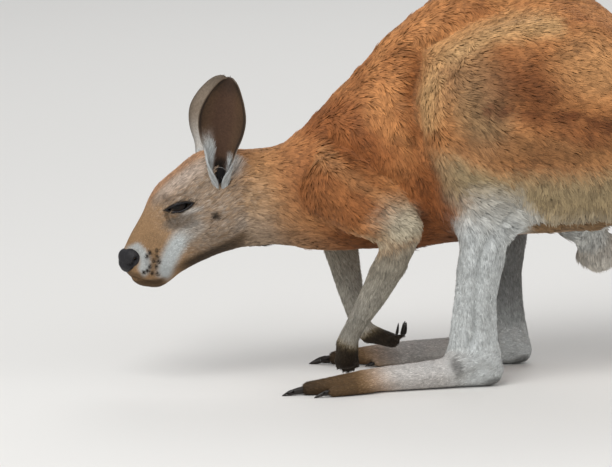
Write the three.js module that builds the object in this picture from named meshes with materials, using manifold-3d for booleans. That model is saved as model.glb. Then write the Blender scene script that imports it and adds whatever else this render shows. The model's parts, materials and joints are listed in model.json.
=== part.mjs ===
// A male red kangaroo, life size, crouched on its hind feet with its head held low.
//
// Every fleshy part is a limb: a row of oval sections joined by a smooth curve. The limbs blend
// into one body, which is wrapped in rings of points and then parted by thin cuts, so that the
// pieces meet without a step. Ears and claws are thin curved shells and horns, and the eyes are balls.
//
// Millimetres, +Z up. The design frame has the nose towards -X, the animal's left side towards -Y
// and the ground at z = 0. The finished group is moved so that its origin is the middle of its
// footprint on the ground.

import * as THREE from "three";
import { mergeVertices } from "three/addons/utils/BufferGeometryUtils.js";
import Module from "manifold-3d";

const wasm = await Module();
wasm.setup();

// ---------------------------------------------------------------- driving dimensions

const GAP = 0.5; // between pieces that meet
const SIDES = { left: -1, right: 1 }; // sign of y on each side

const HEAD_TILT = THREE.MathUtils.degToRad(31); // how far the muzzle points down
const NOSE_TIP = new THREE.Vector3(-284, 0, 197);
const EYE = { along: 116, up: 26, out: 28.5, radius: 18 }; // in the head's own frame
const LIDS = { halfLength: 23, halfHeight: 10, radius: 3.6, slant: 0.24 };

const RIGHT_LEG_BACK = 74; // the right hind foot stands this far behind the left one
const HEEL = { x: 292, out: 80 }; // back of the left heel
const FOOT = { length: 322, splay: THREE.MathUtils.degToRad(6.5) }; // flesh only, without claws

const CLAW = {
  toe4: { length: 38, radius: 8.5, droop: 0.3 },
  toe5: { length: 26, radius: 6, droop: 0.35 },
  toe3: { length: 13, radius: 3.2, droop: 0.5, rows: 3 },
  toe2: { length: 13, radius: 3.2, droop: 0.5, rows: 3 },
  finger: { length: 15, radius: 3.4, droop: 0.7, rows: 3 },
};

const COLOURS = {
  rufous: "#a5683a",
  tawny: "#b98a5c",
  face: "#8f7458",
  cream: "#cfc6b2",
  dark: "#3a2d26",
  ear: "#6d5c4c",
  black: "#17130f",
};

// ---------------------------------------------------------------- shape tools

const { clamp, lerp } = THREE.MathUtils;
const at = (x, y, z) => new THREE.Vector3(x, y, z);
const LEFT_TO_RIGHT = at(0, 1, 0);
const JOINT_REACH = 0.45; // how far a section bulges past a joint inside a limb, as a share of its radius

/**
 * A row of oval sections [centre, half width, half depth, narrowing] along a smooth curve. The
 * sections stand square to the curve, or square to the heading when one is given.
 */
class Limb {
  constructor(stations, { side = at(0, 1, 0), heading = null, steps = 3 } = {}) {
    const smooth = (points) => new THREE.CatmullRomCurve3(points, false, "catmullrom", 0.5);
    const centres = smooth(stations.map(([centre]) => centre));
    const sizes = smooth(stations.map(([, width, depth, narrowing = 0]) => at(width, depth, narrowing)));
    const count = (stations.length - 1) * steps;
    this.centres = centres;
    this.bones = Array.from({ length: count }, (_, i) => {
      const start = centres.getPoint(i / count);
      const run = centres.getPoint((i + 1) / count).sub(start);
      const along = (heading ?? run).clone().normalize();
      const across = side.clone().addScaledVector(along, -side.dot(along)).normalize();
      return {
        start,
        run,
        along,
        across,
        deep: along.clone().cross(across),
        length: run.dot(along),
        sizeStart: sizes.getPoint(i / count),
        sizeEnd: sizes.getPoint((i + 1) / count),
        startReach: i === 0 ? 1 : JOINT_REACH,
        endReach: i === count - 1 ? 1 : JOINT_REACH,
      };
    });
  }

  /** Distance from a point to the limb's surface, negative inside. */
  distance(point) {
    let nearest = Infinity;
    for (const { start, run, along, across, deep, length, ...bone } of this.bones) {
      const dx = point.x - start.x;
      const dy = point.y - start.y;
      const dz = point.z - start.z;
      const reach = (dx * along.x + dy * along.y + dz * along.z) / length;
      const share = clamp(reach, 0, 1);
      const ox = dx - run.x * share;
      const oy = dy - run.y * share;
      const oz = dz - run.z * share;
      const sideways = ox * across.x + oy * across.y + oz * across.z;
      const deepways = ox * deep.x + oy * deep.y + oz * deep.z;
      const over = ox * along.x + oy * along.y + oz * along.z;
      const depth = lerp(bone.sizeStart.y, bone.sizeEnd.y, share);
      const narrowing = lerp(bone.sizeStart.z, bone.sizeEnd.z, share) * clamp(deepways / depth, -1, 1);
      const width = lerp(bone.sizeStart.x, bone.sizeEnd.x, share) * (1 - narrowing);
      const round = Math.min(width, depth) * (reach < 0 ? bone.startReach : bone.endReach);
      const scaled = Math.hypot(sideways / width, deepways / depth, over / round);
      const slope = Math.hypot(sideways / width ** 2, deepways / depth ** 2, over / round ** 2);
      nearest = Math.min(nearest, scaled < 1e-6 ? -round : (scaled * (scaled - 1)) / slope);
    }
    return nearest;
  }
}

/** The union of several bodies, with a fillet about as wide as each one's reach. */
function blend(...members) {
  return (point) => {
    let total = Infinity;
    for (const [body, reach] of members) {
      const next = body instanceof Limb ? body.distance(point) : body(point);
      if (total === Infinity) {
        total = next;
        continue;
      }
      const share = Math.max(reach - Math.abs(total - next), 0) / Math.max(reach, 1e-9);
      total = Math.min(total, next) - (share * share * reach) / 4;
    }
    return total;
  };
}

const bodyOf = (limb) => (point) => limb.distance(point);

/** Distance from an inner point to the body's skin in one direction. */
function skinDistance(body, origin, direction) {
  const point = at(0, 0, 0);
  const depthAt = (r) => body(point.copy(direction).multiplyScalar(r).add(origin));
  let inside = 0;
  let outside = 0;
  for (let tries = 0; tries < 400; tries += 1) {
    const depth = depthAt(outside);
    if (depth >= 0) break;
    inside = outside;
    outside += Math.max(-depth * 0.7, 1);
  }
  for (let halving = 0; halving < 14; halving += 1) {
    const middle = (inside + outside) / 2;
    if (depthAt(middle) < 0) inside = middle;
    else outside = middle;
  }
  return (inside + outside) / 2;
}

/** The closed solid of a geometry. */
function solidOf(geometry) {
  geometry.deleteAttribute("normal");
  geometry.deleteAttribute("uv");
  const merged = mergeVertices(geometry, 1e-3);
  return new wasm.Manifold(
    new wasm.Mesh({
      numProp: 3,
      vertProperties: merged.attributes.position.array,
      triVerts: new Uint32Array(merged.index.array),
    }),
  );
}

/** A closed skin of rings: pointAt(turn, share, out) gives the point at an angle on the ring at share. */
function ringSkin(around, along, pointAt) {
  const geometry = new THREE.SphereGeometry(1, around, along);
  const { position, uv } = geometry.attributes;
  const point = at(0, 0, 0);
  for (let i = 0; i < position.count; i += 1) {
    const share = 1 - uv.getY(i);
    const turn = Math.round(uv.getX(i) * around * 2) / (around * 2);
    pointAt((turn % 1) * 2 * Math.PI, share, point);
    position.setXYZ(i, point.x, point.y, point.z);
  }
  return solidOf(geometry);
}

/**
 * Wraps a body in rings about an axis curve inside it: two rows close each end like a dome, and
 * the other rings stand square to the axis. grow fattens the body, and room moves every point of
 * its skin straight outwards, which leaves a gap around a piece with the same rings.
 */
const DOME_ROWS = 2;
function wrap(body, axis, around, along, { side = LEFT_TO_RIGHT, grow = 0, room = 0 } = {}) {
  const grown = (point) => body(point) - grow;
  const across = at(0, 0, 0);
  const deep = at(0, 0, 0);
  const ray = at(0, 0, 0);
  return ringSkin(around, along, (turn, share, out) => {
    const row = Math.round(share * along);
    const fromEnd = Math.min(row, along - row);
    const dome = (Math.max(1 - fromEnd / DOME_ROWS, 0) * Math.PI) / 2;
    const place = clamp((row - DOME_ROWS) / (along - 2 * DOME_ROWS), 0, 1);
    const centre = axis.getPoint(place);
    const forward = axis.getTangent(place);
    across.copy(side).addScaledVector(forward, -side.dot(forward)).normalize();
    deep.crossVectors(forward, across);
    ray.copy(deep).multiplyScalar(Math.cos(turn)).addScaledVector(across, Math.sin(turn));
    ray.multiplyScalar(Math.cos(dome)).addScaledVector(forward, Math.sin(dome) * (row < along / 2 ? -1 : 1));
    out.copy(ray).multiplyScalar(skinDistance(grown, centre, ray) + room).add(centre);
  });
}

/** Everything on the far side of a plane is cut away. */
const HALF_SPACE = 4000;
function cutAway(solid, point, towards, keep = 0) {
  const normal = towards.clone().normalize();
  const box = new THREE.BoxGeometry(HALF_SPACE, HALF_SPACE, HALF_SPACE);
  box.translate(0, 0, HALF_SPACE / 2 + keep);
  box.applyQuaternion(new THREE.Quaternion().setFromUnitVectors(at(0, 0, 1), normal));
  box.translate(point.x, point.y, point.z);
  return solid.subtract(solidOf(box));
}

/** The two sides of one thin cut: [what lies behind the plane, what lies ahead of it]. */
const behind = (solid, plane) => cutAway(solid, plane.point, plane.normal, -GAP / 2);
const ahead = (solid, plane) => cutAway(solid, plane.point, plane.normal.clone().negate(), -GAP / 2);
const aboveGround = (solid) => cutAway(solid, at(0, 0, 0), at(0, 0, -1));

function largest(solid) {
  return solid.decompose().reduce((best, body) => (body.volume() > best.volume() ? body : best));
}

/** A straight axis through the given points, for wrap. */
const axisThrough = (...points) => new THREE.CatmullRomCurve3(points, false, "catmullrom", 0.5);

/** A pointed horn that bends from one direction towards another, flattened a little sideways. */
function claw(root, forward, down, { length, radius, droop, rows = 4 }) {
  const axis = new THREE.QuadraticBezierCurve3(
    root.clone().addScaledVector(forward, -length * 0.35),
    root.clone().addScaledVector(forward, length * 0.45),
    root.clone().addScaledVector(forward, length).addScaledVector(down, length * droop),
  );
  const side = forward.clone().cross(down).normalize();
  return ringSkin(5, rows, (turn, share, out) => {
    const centre = axis.getPoint(share);
    const deep = axis.getTangent(share).cross(side);
    const size = share < 1e-6 ? 0 : radius * (1 - share) ** 0.7;
    out.copy(centre)
      .addScaledVector(deep, size * Math.cos(turn))
      .addScaledVector(side, size * 0.75 * Math.sin(turn));
  });
}

/** The space ahead of the tip of a toe, where its claw stands. */
function pad(root, forward, width) {
  const box = new THREE.BoxGeometry(width, width, width * 4);
  box.translate(0, 0, width * 2);
  box.applyQuaternion(new THREE.Quaternion().setFromUnitVectors(at(0, 0, 1), forward));
  return solidOf(box.translate(root.x, root.y, root.z));
}

const kangaroo = new THREE.Group();

function addNode(name, solid, colour, roughness = 0.85) {
  const { vertProperties, triVerts, numProp } = largest(solid).getMesh();
  const positions = new Float32Array((vertProperties.length / numProp) * 3);
  for (let i = 0; i * numProp < vertProperties.length; i += 1) {
    positions.set(vertProperties.subarray(i * numProp, i * numProp + 3), i * 3);
  }
  const geometry = new THREE.BufferGeometry()
    .setAttribute("position", new THREE.BufferAttribute(positions, 3))
    .setIndex(new THREE.BufferAttribute(triVerts, 1));
  const material = new THREE.MeshStandardMaterial({ color: colour, roughness, metalness: 0 });
  const mesh = new THREE.Mesh(geometry, material);
  mesh.name = name;
  kangaroo.add(mesh);
}

// ---------------------------------------------------------------- head

const EAR = {
  thickness: 1.5, // half of the leaf's
  halfWidths: [9, 9.5, 12.5, 18.5, 25, 31, 34.5, 34, 28.5, 19, 0], // evenly from the root to the tip
  left: { root: at(-142, -42, 312), tip: at(-123, -62, 477) },
  right: { root: at(-142, 42, 312), tip: at(-112, 100, 456) },
};

const headForward = at(Math.cos(HEAD_TILT), 0, Math.sin(HEAD_TILT)); // from the nose to the nape
const headUp = at(-Math.sin(HEAD_TILT), 0, Math.cos(HEAD_TILT));

/** A point in the head's frame: along from the nose tip, up from the nose, and out to one side. */
function inHead(along, up, out = 0) {
  return NOSE_TIP.clone().addScaledVector(headForward, along).addScaledVector(headUp, up).add(at(0, out, 0));
}

// [along, crown, chin, half width, narrowing towards the crown], all in the head's frame
const SKULL = [
  [14, 8, -59, 18, 0],
  [23, 16, -66, 22, 0.05],
  [33, 23, -69, 25, 0.1],
  [48, 31, -71, 28, 0.14],
  [65, 41, -71, 31, 0.12],
  [78, 49, -71, 34, 0.05],
  [90, 58, -72, 38, 0],
  [106, 65, -74, 43, -0.08],
  [128, 69, -77, 47.5, -0.12],
  [150, 72, -80, 49.5, -0.1],
  [172, 76, -84, 48, -0.05],
  [194, 73, -86, 45, 0],
  [214, 60, -86, 41, 0],
  [236, 44, -80, 36, 0],
];
const skull = new Limb(
  SKULL.map(([along, crown, chin, width, narrowing]) => [
    inHead(along, (crown + chin) / 2),
    width,
    (crown - chin) / 2,
    narrowing,
  ]),
  { heading: headForward, steps: 2 },
);

const onBothSides = (make) => Object.values(SIDES).map((side) => make(side));
const browRidges = onBothSides(
  (side) =>
    new Limb([
      [inHead(95, 43, side * 25), 8, 8],
      [inHead(114, 47, side * 31), 9, 9],
      [inHead(135, 43, side * 33), 8, 8],
    ]),
);
const cheeks = onBothSides(
  (side) =>
    new Limb([
      [inHead(122, -8, side * 31), 16, 20],
      [inHead(142, -26, side * 31), 19, 30],
      [inHead(164, -40, side * 25), 18, 28],
    ]),
);
const lipPads = onBothSides(
  (side) =>
    new Limb([
      [inHead(17, -24, side * 10), 11, 13],
      [inHead(36, -36, side * 15), 13, 15],
      [inHead(57, -42, side * 16), 11, 12],
    ]),
);
const noseLimb = new Limb([
  [inHead(15, -3), 13, 11],
  [inHead(9, -10), 16.5, 14.5],
  [inHead(6, -20), 13, 12],
]);

// ---------------------------------------------------------------- neck, trunk and tail

// [x, height of the back, height of the belly, half width, narrowing towards the back]
const BODY = [
  [-150, 320, 240, 34, 0],
  [-122, 340, 220, 40, 0],
  [-95, 351, 213, 45, 0],
  [-65, 354, 216, 49, 0],
  [-45, 358, 212, 54, 0.03],
  [-20, 376, 204, 60, 0.06],
  [15, 407, 198, 69, 0.1],
  [60, 457, 196, 81, 0.16],
  [120, 528, 194, 95, 0.22],
  [180, 578, 197, 105, 0.25],
  [250, 610, 208, 112, 0.25],
  [320, 625, 218, 114, 0.22],
  [400, 607, 228, 108, 0.18],
  [450, 573, 234, 98, 0.12],
  [505, 524, 244, 84, 0.06],
  [560, 470, 264, 68, 0],
  [600, 424, 288, 56, 0],
];
const bodyLimb = new Limb(
  BODY.map(([x, back, belly, width, narrowing]) => [
    at(x, 0, (back + belly) / 2),
    width,
    (back - belly) / 2,
    narrowing,
  ]),
  { heading: at(1, 0, 0), steps: 2 },
);

// [x, y, height of the centre, half width, half depth]; it lies on the ground from its fifth section on
const TAIL = [
  [590, 0, 346, 54, 70],
  [652, 1, 287, 52, 60],
  [706, 2, 213, 47, 50],
  [762, 4, 133, 43, 44],
  [828, 8, 66, 38, 38],
  [908, 14, 32, 34, 34],
  [1000, 22, 26, 28.5, 28.5],
  [1090, 28, 21, 23.5, 23.5],
  [1170, 30, 16, 18, 18],
  [1232, 28, 11, 13, 13],
  [1262, 25, 7.5, 9, 9],
];
const tailLimb = new Limb(TAIL.map(([x, y, z, ...sizes]) => [at(x, y, z), ...sizes]));

const head = blend(
  [skull, 0],
  ...browRidges.map((ridge) => [ridge, 14]),
  ...cheeks.map((cheek) => [cheek, 20]),
  ...lipPads.map((pad) => [pad, 10]),
  [bodyLimb, 26],
);

const scrotumLimb = new Limb([
  [at(434, 0, 244), 15, 16],
  [at(442, 0, 216), 24, 27],
  [at(450, 0, 188), 31, 36],
]);

// ---------------------------------------------------------------- hind legs

/** The sections of one hind leg. back is how far its foot stands behind the left one. */
function hindLeg(side, back) {
  const y = (out) => side * out;
  const knee = back * 0.7;
  const thigh = new Limb([
    [at(516, y(70), 372), 50, 92],
    [at(440 + back * 0.1, y(90), 392), 70, 146],
    [at(330 + back * 0.4, y(98), 416), 76, 150],
    [at(255 + knee, y(108), 437), 66, 112],
    [at(212 + knee, y(118), 447), 49, 66],
  ]);
  const ham = new Limb([
    [at(456, y(76), 330), 50, 88],
    [at(380 + back * 0.4, y(92), 306), 48, 72],
    [at(300 + back * 0.7, y(108), 288), 38, 48],
  ]);
  const kneecap = new Limb([
    [at(228 + knee, y(119), 400), 42, 48],
    [at(240 + back * 0.8, y(117), 335), 40, 50],
    [at(250 + back * 0.88, y(113), 290), 30, 40],
  ]);
  const shin = new Limb([
    [at(234 + back * 0.77, y(118), 355), 34, 42],
    [at(243 + back * 0.86, y(115), 300), 34, 44],
    [at(246 + back * 0.92, y(111), 258), 30, 40],
    [at(245 + back, y(105), 205), 25, 33],
    [at(237 + back, y(98), 145), 20.5, 27],
    [at(229 + back, y(93), 85), 20, 26],
    [at(229 + back, y(90), 42), 23, 26],
  ]);
  const heelCord = new Limb([
    [at(288 + back * 0.85, y(113), 300), 26, 36],
    [at(274 + back * 0.95, y(105), 215), 15, 20],
    [at(265 + back, y(98), 150), 10, 14],
    [at(268 + back, y(91), 90), 10, 14],
    [at(271 + back, y(87), 40), 15, 18],
  ]);
  const footAt = (along, lift, out = 0) => {
    const turned = along - 22;
    return at(
      HEEL.x + back - 22 - turned * Math.cos(FOOT.splay) - out * Math.sin(FOOT.splay),
      y(HEEL.out + turned * Math.sin(FOOT.splay) + out * Math.cos(FOOT.splay)),
      lift,
    );
  };
  const sole = new Limb([
    [footAt(22, 21), 21, 23],
    [footAt(62, 25), 22, 27],
    [footAt(110, 21), 22.5, 23],
    [footAt(160, 19), 23, 21],
    [footAt(205, 17), 25, 19],
    [footAt(240, 14.5, 1), 22, 16.5],
    [footAt(272, 12, 1), 15.5, 14],
    [footAt(FOOT.length - 13, 9.5, 1), 11.5, 11],
  ]);
  const outerToe = new Limb([
    [footAt(205, 13, 17), 11, 13],
    [footAt(243, 10.5, 25), 9.5, 11.5],
    [footAt(270, 8, 28), 8, 9],
  ]);
  const innerToe = new Limb([
    [footAt(190, 12, -15), 9, 12],
    [footAt(226, 9, -23), 8, 10],
    [footAt(250, 7, -25), 6.5, 8],
  ]);
  return {
    side,
    back,
    footAt,
    thigh: blend([thigh, 0], [ham, 46], [kneecap, 40]),
    thighAxis: axisThrough(
      at(505, y(66), 366),
      at(436 + back * 0.1, y(86), 378),
      at(340 + back * 0.4, y(98), 388),
      at(262 + knee, y(110), 424),
      at(222 + knee, y(119), 444),
    ),
    shank: blend([shin, 0], [heelCord, 20], [sole, 26]),
    shankAxis: axisThrough(
      at(240 + back * 0.8, y(117), 345),
      at(254 + back * 0.9, y(111), 260),
      at(252 + back, y(99), 140),
      at(250 + back, y(92), 66),
    ),
    sole,
    toes: [outerToe, innerToe],
  };
}
const hindLegs = {
  left: hindLeg(SIDES.left, 0),
  right: hindLeg(SIDES.right, RIGHT_LEG_BACK),
};

// ---------------------------------------------------------------- arms

// spread runs across the palm towards the thumb, pointing along the fingers, and curl is where they bend
const ARMS = {
  left: {
    shoulder: at(30, -64, 318),
    middle: at(86, -92, 276),
    elbow: at(136, -116, 250),
    belowElbow: at(114, -103, 196),
    midForearm: at(88, -82, 138),
    aboveWrist: at(66, -66, 96),
    wrist: at(55, -58, 70),
    knuckles: at(55, -54, 36),
    spread: at(-1, -0.3, 0),
    pointing: at(0.08, 0.15, -1),
    curl: at(0.25, 1, 0.1),
  },
  right: {
    shoulder: at(20, 62, 314),
    middle: at(38, 84, 272),
    elbow: at(52, 95, 238),
    belowElbow: at(66, 80, 185),
    midForearm: at(77, 66, 130),
    aboveWrist: at(88, 54, 84),
    wrist: at(101, 47, 61),
    knuckles: at(140, 33, 50),
    spread: at(-0.5, -1, 0.15),
    pointing: at(0.93, -0.45, 0),
    curl: at(-0.1, 0, 1),
  },
};

/** The sections of one arm. */
function arm({ shoulder, middle, elbow, belowElbow, midForearm, aboveWrist, wrist, knuckles, ...hand }) {
  const spread = hand.spread.clone().normalize();
  const pointing = hand.pointing.clone().normalize();
  const curl = hand.curl.clone().normalize();
  const upper = new Limb([
    [shoulder, 44, 62],
    [middle, 37, 50],
    [elbow, 25, 30],
  ]);
  const fore = new Limb([
    [elbow, 24, 25],
    [belowElbow, 23, 28],
    [midForearm, 18.5, 21.5],
    [aboveWrist, 14.5, 16],
    [wrist, 14, 15],
  ]);
  const palm = new Limb(
    [
      [wrist, 16, 13],
      [wrist.clone().lerp(knuckles, 0.55), 20, 13],
      [knuckles, 20, 11],
    ],
    { side: spread },
  );
  return {
    shoulder,
    elbow,
    belowElbow,
    aboveWrist,
    wrist,
    knuckles,
    spread,
    pointing,
    curl,
    upper,
    fore: blend([fore, 0], [palm, 10]),
    foreAxis: axisThrough(elbow, midForearm, aboveWrist, wrist, knuckles.clone().lerp(wrist, 0.2)),
  };
}
const arms = { left: arm(ARMS.left), right: arm(ARMS.right) };

// ---------------------------------------------------------------- the torso and the cuts between the pieces

const torso = blend(
  [bodyLimb, 0],
  [skull, 26],
  [tailLimb, 30],
  ...Object.values(hindLegs).map(({ thigh }) => [thigh, 44]),
);

const plane = (point, normal) => ({ point, normal: normal.clone().normalize() });
const HEAD_CUT = plane(at(-108, 0, 290), at(-1, 0, -0.08));
const NECK_CUT = plane(at(0, 0, 300), at(-1, 0, -0.2));
const TAIL_CUTS = [
  plane(at(607, 0, 330), at(0.78, 0, -0.62)),
  plane(at(800, 6, 90), at(0.72, 0, -0.68)),
  plane(at(1045, 25, 24), at(1, 0.05, 0)),
];

// ---------------------------------------------------------------- the body in one piece

const BODY_AXIS = axisThrough(
  at(-150, 0, 282),
  at(-60, 0, 284),
  at(60, 0, 325),
  at(190, 0, 380),
  at(330, 0, 405),
  at(470, 0, 392),
  at(580, 0, 352),
  at(650, 0, 290),
  at(690, 0, 235),
);
const legSkin = ({ shank, shankAxis, sole }, room) =>
  wrap(shank, shankAxis, 10, 13, { room }).add(wrap(bodyOf(sole), sole.centres, 8, 12, { room }));
const armSkin = ({ upper, fore, foreAxis }, room) =>
  wrap(bodyOf(upper), upper.centres, 9, 8, { room }).add(wrap(fore, foreAxis, 8, 13, { room }));

const kneeCut = ({ side, back }) => plane(at(258 + back * 0.92, side * 112, 250), at(-0.42, 0, -0.9));
const ankleCut = ({ side, back }) => plane(at(240 + back, side * 90, 60), at(0, 0, -1));
const elbowCut = ({ shoulder, elbow, belowElbow }) => {
  const down = belowElbow.clone().sub(elbow).normalize();
  return plane(elbow.clone().addScaledVector(down, 20), down.sub(shoulder.clone().sub(elbow).normalize()));
};
const wristCut = ({ wrist, aboveWrist }) => plane(wrist, wrist.clone().sub(aboveWrist));

const THIGH_EDGE = 14; // how far past its own skin a thigh's piece reaches into the fillet around it
const INNER_FACE = 26; // a thigh's piece stops this far from the middle of the body
const thighSpace = ({ side, thigh, thighAxis }, room) => {
  const space = wrap(thigh, thighAxis, 10, 9, { grow: THIGH_EDGE, room });
  return cutAway(space, at(0, side * (INNER_FACE - room), 0), at(0, -side, 0));
};

/** The hollow in which a piece lies, with a gap around it. */
const seat = (skin) => skin(0).add(skin(GAP));
const scrotumAxis = axisThrough(at(437, 0, 236), at(450, 0, 186));
const scrotumSkin = (room) => wrap(bodyOf(scrotumLimb), scrotumAxis, 8, 7, { room });

const whole = wrap(torso, BODY_AXIS, 20, 28);
const middle = whole.subtract(
  wasm.Manifold.union([
    ...Object.values(hindLegs).map((leg) => seat((room) => thighSpace(leg, room))),
    ...Object.values(hindLegs).map((leg) => seat((room) => legSkin(leg, room))),
    ...Object.values(arms).map((pose) => seat((room) => armSkin(pose, room))),
    seat(scrotumSkin),
  ]),
);
addNode("trunk", behind(behind(middle, NECK_CUT), TAIL_CUTS[0]), COLOURS.rufous);
addNode("neck", behind(ahead(middle, NECK_CUT), HEAD_CUT), COLOURS.rufous);
addNode("scrotum", scrotumSkin(0), COLOURS.cream);

const tail = aboveGround(wrap(torso, tailLimb.centres, 9, 21));
addNode("tail_root", behind(ahead(tail, TAIL_CUTS[0]), TAIL_CUTS[1]), COLOURS.tawny);
addNode("tail_middle", behind(ahead(tail, TAIL_CUTS[1]), TAIL_CUTS[2]), COLOURS.tawny);
addNode("tail_tip", ahead(tail, TAIL_CUTS[2]), COLOURS.tawny);

// ---------------------------------------------------------------- hind legs

for (const [name, leg] of Object.entries(hindLegs)) {
  const { side, footAt, toes } = leg;
  const skin = legSkin(leg, 0);
  const upperLeg = whole.intersect(thighSpace(leg, 0)).add(behind(skin, kneeCut(leg)));
  addNode(`thigh_${name}`, behind(upperLeg, kneeCut(leg)), COLOURS.rufous);
  addNode(`shank_${name}`, behind(ahead(skin, kneeCut(leg)), ankleCut(leg)), COLOURS.cream);

  const forward = at(-Math.cos(FOOT.splay), side * Math.sin(FOOT.splay), 0);
  let foot = ahead(skin, ankleCut(leg));
  for (const toe of toes) foot = foot.add(wrap(bodyOf(toe), toe.centres, 5, 6));
  for (const [toe, root] of [
    ["toe4", footAt(FOOT.length - 8, 8.5, 1)],
    ["toe5", footAt(274, 8, 28)],
    ["toe2", footAt(253, 6.5, -28.5)],
    ["toe3", footAt(254, 6, -22)],
  ]) {
    const horn = aboveGround(claw(root, forward, at(0, 0, -1), CLAW[toe]));
    const nailBed = plane(root, forward);
    foot = foot.subtract(ahead(pad(root, forward, CLAW[toe].radius * 2.2), nailBed));
    addNode(`claw_${toe}_${name}`, ahead(horn, nailBed), COLOURS.black, 0.45);
  }
  addNode(`foot_${name}`, aboveGround(foot), COLOURS.cream);
}

// ---------------------------------------------------------------- arms

const FINGER = { count: 5, spacing: 8.2, length: 24, radius: 5 };
for (const [name, pose] of Object.entries(arms)) {
  const { knuckles, spread, pointing, curl } = pose;
  const skin = armSkin(pose, 0);
  const lowerArm = ahead(skin, elbowCut(pose));
  addNode(`upper_arm_${name}`, behind(skin, elbowCut(pose)), COLOURS.tawny);
  addNode(`forearm_${name}`, behind(lowerArm, wristCut(pose)), COLOURS.cream);

  let hand = ahead(lowerArm, wristCut(pose));
  for (let i = 0; i < FINGER.count; i += 1) {
    const place = i - (FINGER.count - 1) / 2; // the last one is the thumb
    const straight = FINGER.length * 0.8 * (1 - 0.09 * place ** 2);
    const step = (from, straightOn, curled) =>
      from.clone().addScaledVector(pointing, straightOn).addScaledVector(curl, curled);
    const base = step(knuckles.clone().addScaledVector(spread, place * FINGER.spacing), -5, 0);
    const bend = step(base, straight, 2);
    const tip = step(bend, FINGER.length * 0.15, FINGER.length * 0.35);
    const finger = new Limb([
      [base, FINGER.radius, FINGER.radius],
      [bend, FINGER.radius, FINGER.radius],
      [tip, FINGER.radius * 0.75, FINGER.radius * 0.75],
    ]);
    const heading = tip.clone().sub(bend).normalize();
    const nailBed = plane(tip, heading);
    hand = hand.add(behind(wrap(bodyOf(finger), finger.centres, 5, 5, { side: spread }), nailBed));
    const horn = ahead(claw(tip, heading, curl, CLAW.finger), nailBed);
    addNode(`claw_finger${i + 1}_${name}`, aboveGround(horn), COLOURS.black, 0.45);
  }
  addNode(`hand_${name}`, aboveGround(hand), COLOURS.dark);
}

// ---------------------------------------------------------------- head, nose, eyes and ears

const HEAD_AXIS = axisThrough(
  inHead(16, -25),
  inHead(60, -16),
  inHead(120, -5),
  inHead(175, -4),
  inHead(232, -15),
);
const headSkin = (room) => wrap(head, HEAD_AXIS, 20, 19, { room });

const eyeball = (side, room) => {
  const { x, y, z } = inHead(EYE.along, EYE.up, side * EYE.out);
  return solidOf(new THREE.SphereGeometry(EYE.radius + room, 10, 7).translate(x, y, z));
};

/** A ridge of lid around the eye opening, lower at its outer corner. */
function eyelids(side) {
  const points = Array.from({ length: 10 }, (_, i) => {
    const turn = (i / 10) * 2 * Math.PI;
    const along = LIDS.halfLength * Math.cos(turn);
    const up = LIDS.halfHeight * Math.sin(turn);
    const out = Math.sqrt(EYE.radius ** 2 - (along * 0.7) ** 2 - up ** 2);
    return inHead(
      EYE.along + along * Math.cos(LIDS.slant) + up * Math.sin(LIDS.slant),
      EYE.up - along * Math.sin(LIDS.slant) + up * Math.cos(LIDS.slant),
      side * (EYE.out + out),
    );
  });
  const rim = new THREE.CatmullRomCurve3(points, true);
  return solidOf(new THREE.TubeGeometry(rim, 10, LIDS.radius, 5, true));
}

const nosePad = (room) => wrap(bodyOf(noseLimb), noseLimb.centres, 10, 7, { room });
const nostrils = onBothSides((side) => {
  const { x, y, z } = inHead(-4, -7, side * 8.5);
  const hollow = new THREE.SphereGeometry(1, 6, 4).scale(4.5, 2.6, 3.4).rotateY(-HEAD_TILT);
  return solidOf(hollow.translate(x, y, z));
});

const lidded = headSkin(0).add(wasm.Manifold.union(onBothSides(eyelids)));
const sockets = wasm.Manifold.union([nosePad(GAP), ...onBothSides((side) => eyeball(side, GAP))]);
addNode("head", ahead(lidded, HEAD_CUT).subtract(sockets), COLOURS.face);
addNode("nose", nosePad(0).subtract(wasm.Manifold.union(nostrils)), COLOURS.black, 0.5);

/** A thin leaf rolled into a cup: nearly a tube at its root, open like a spoon towards its tip. */
function ear({ side, root, tip }) {
  const bow = root.clone().lerp(tip, 0.5).add(at(-2, side * 5, 0));
  const spine = new THREE.QuadraticBezierCurve3(root, bow, tip);
  const facing = at(-0.2, side, 0.05);
  const widths = new THREE.CatmullRomCurve3(EAR.halfWidths.map((width, i) => at(i, width, 0)));
  return ringSkin(10, 9, (turn, share, out) => {
    const centre = spine.getPoint(share);
    const up = spine.getTangent(share);
    const opening = facing.clone().addScaledVector(up, -facing.dot(up)).normalize();
    const across = up.clone().cross(opening);
    const isEnd = share < 1e-6 || share > 1 - 1e-6;
    const halfWidth = isEnd ? 0 : widths.getPoint(share).y;
    const roll = lerp(2.4, 1.2, Math.min(share / 0.3, 1));
    const radius = halfWidth / Math.sin(Math.min(roll, Math.PI / 2));
    const angle = -Math.cos(turn) * roll;
    const shell = radius + Math.sin(turn) * EAR.thickness * Math.min(1, halfWidth / 12);
    out.copy(centre)
      .addScaledVector(opening, radius - shell * Math.cos(angle))
      .addScaledVector(across, shell * Math.sin(angle));
  });
}

const headRoom = headSkin(GAP);
for (const [name, side] of Object.entries(SIDES)) {
  addNode(`eye_${name}`, eyeball(side, 0), COLOURS.black, 0.1);
  addNode(`ear_${name}`, ear({ side, ...EAR[name] }).subtract(headRoom), COLOURS.ear);
}

// ---------------------------------------------------------------- origin: the middle of the footprint

const size = new THREE.Box3().setFromObject(kangaroo);
const centre = size.getCenter(at(0, 0, 0));
kangaroo.position.set(-centre.x, -centre.y, -size.min.z);

export default kangaroo;
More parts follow.
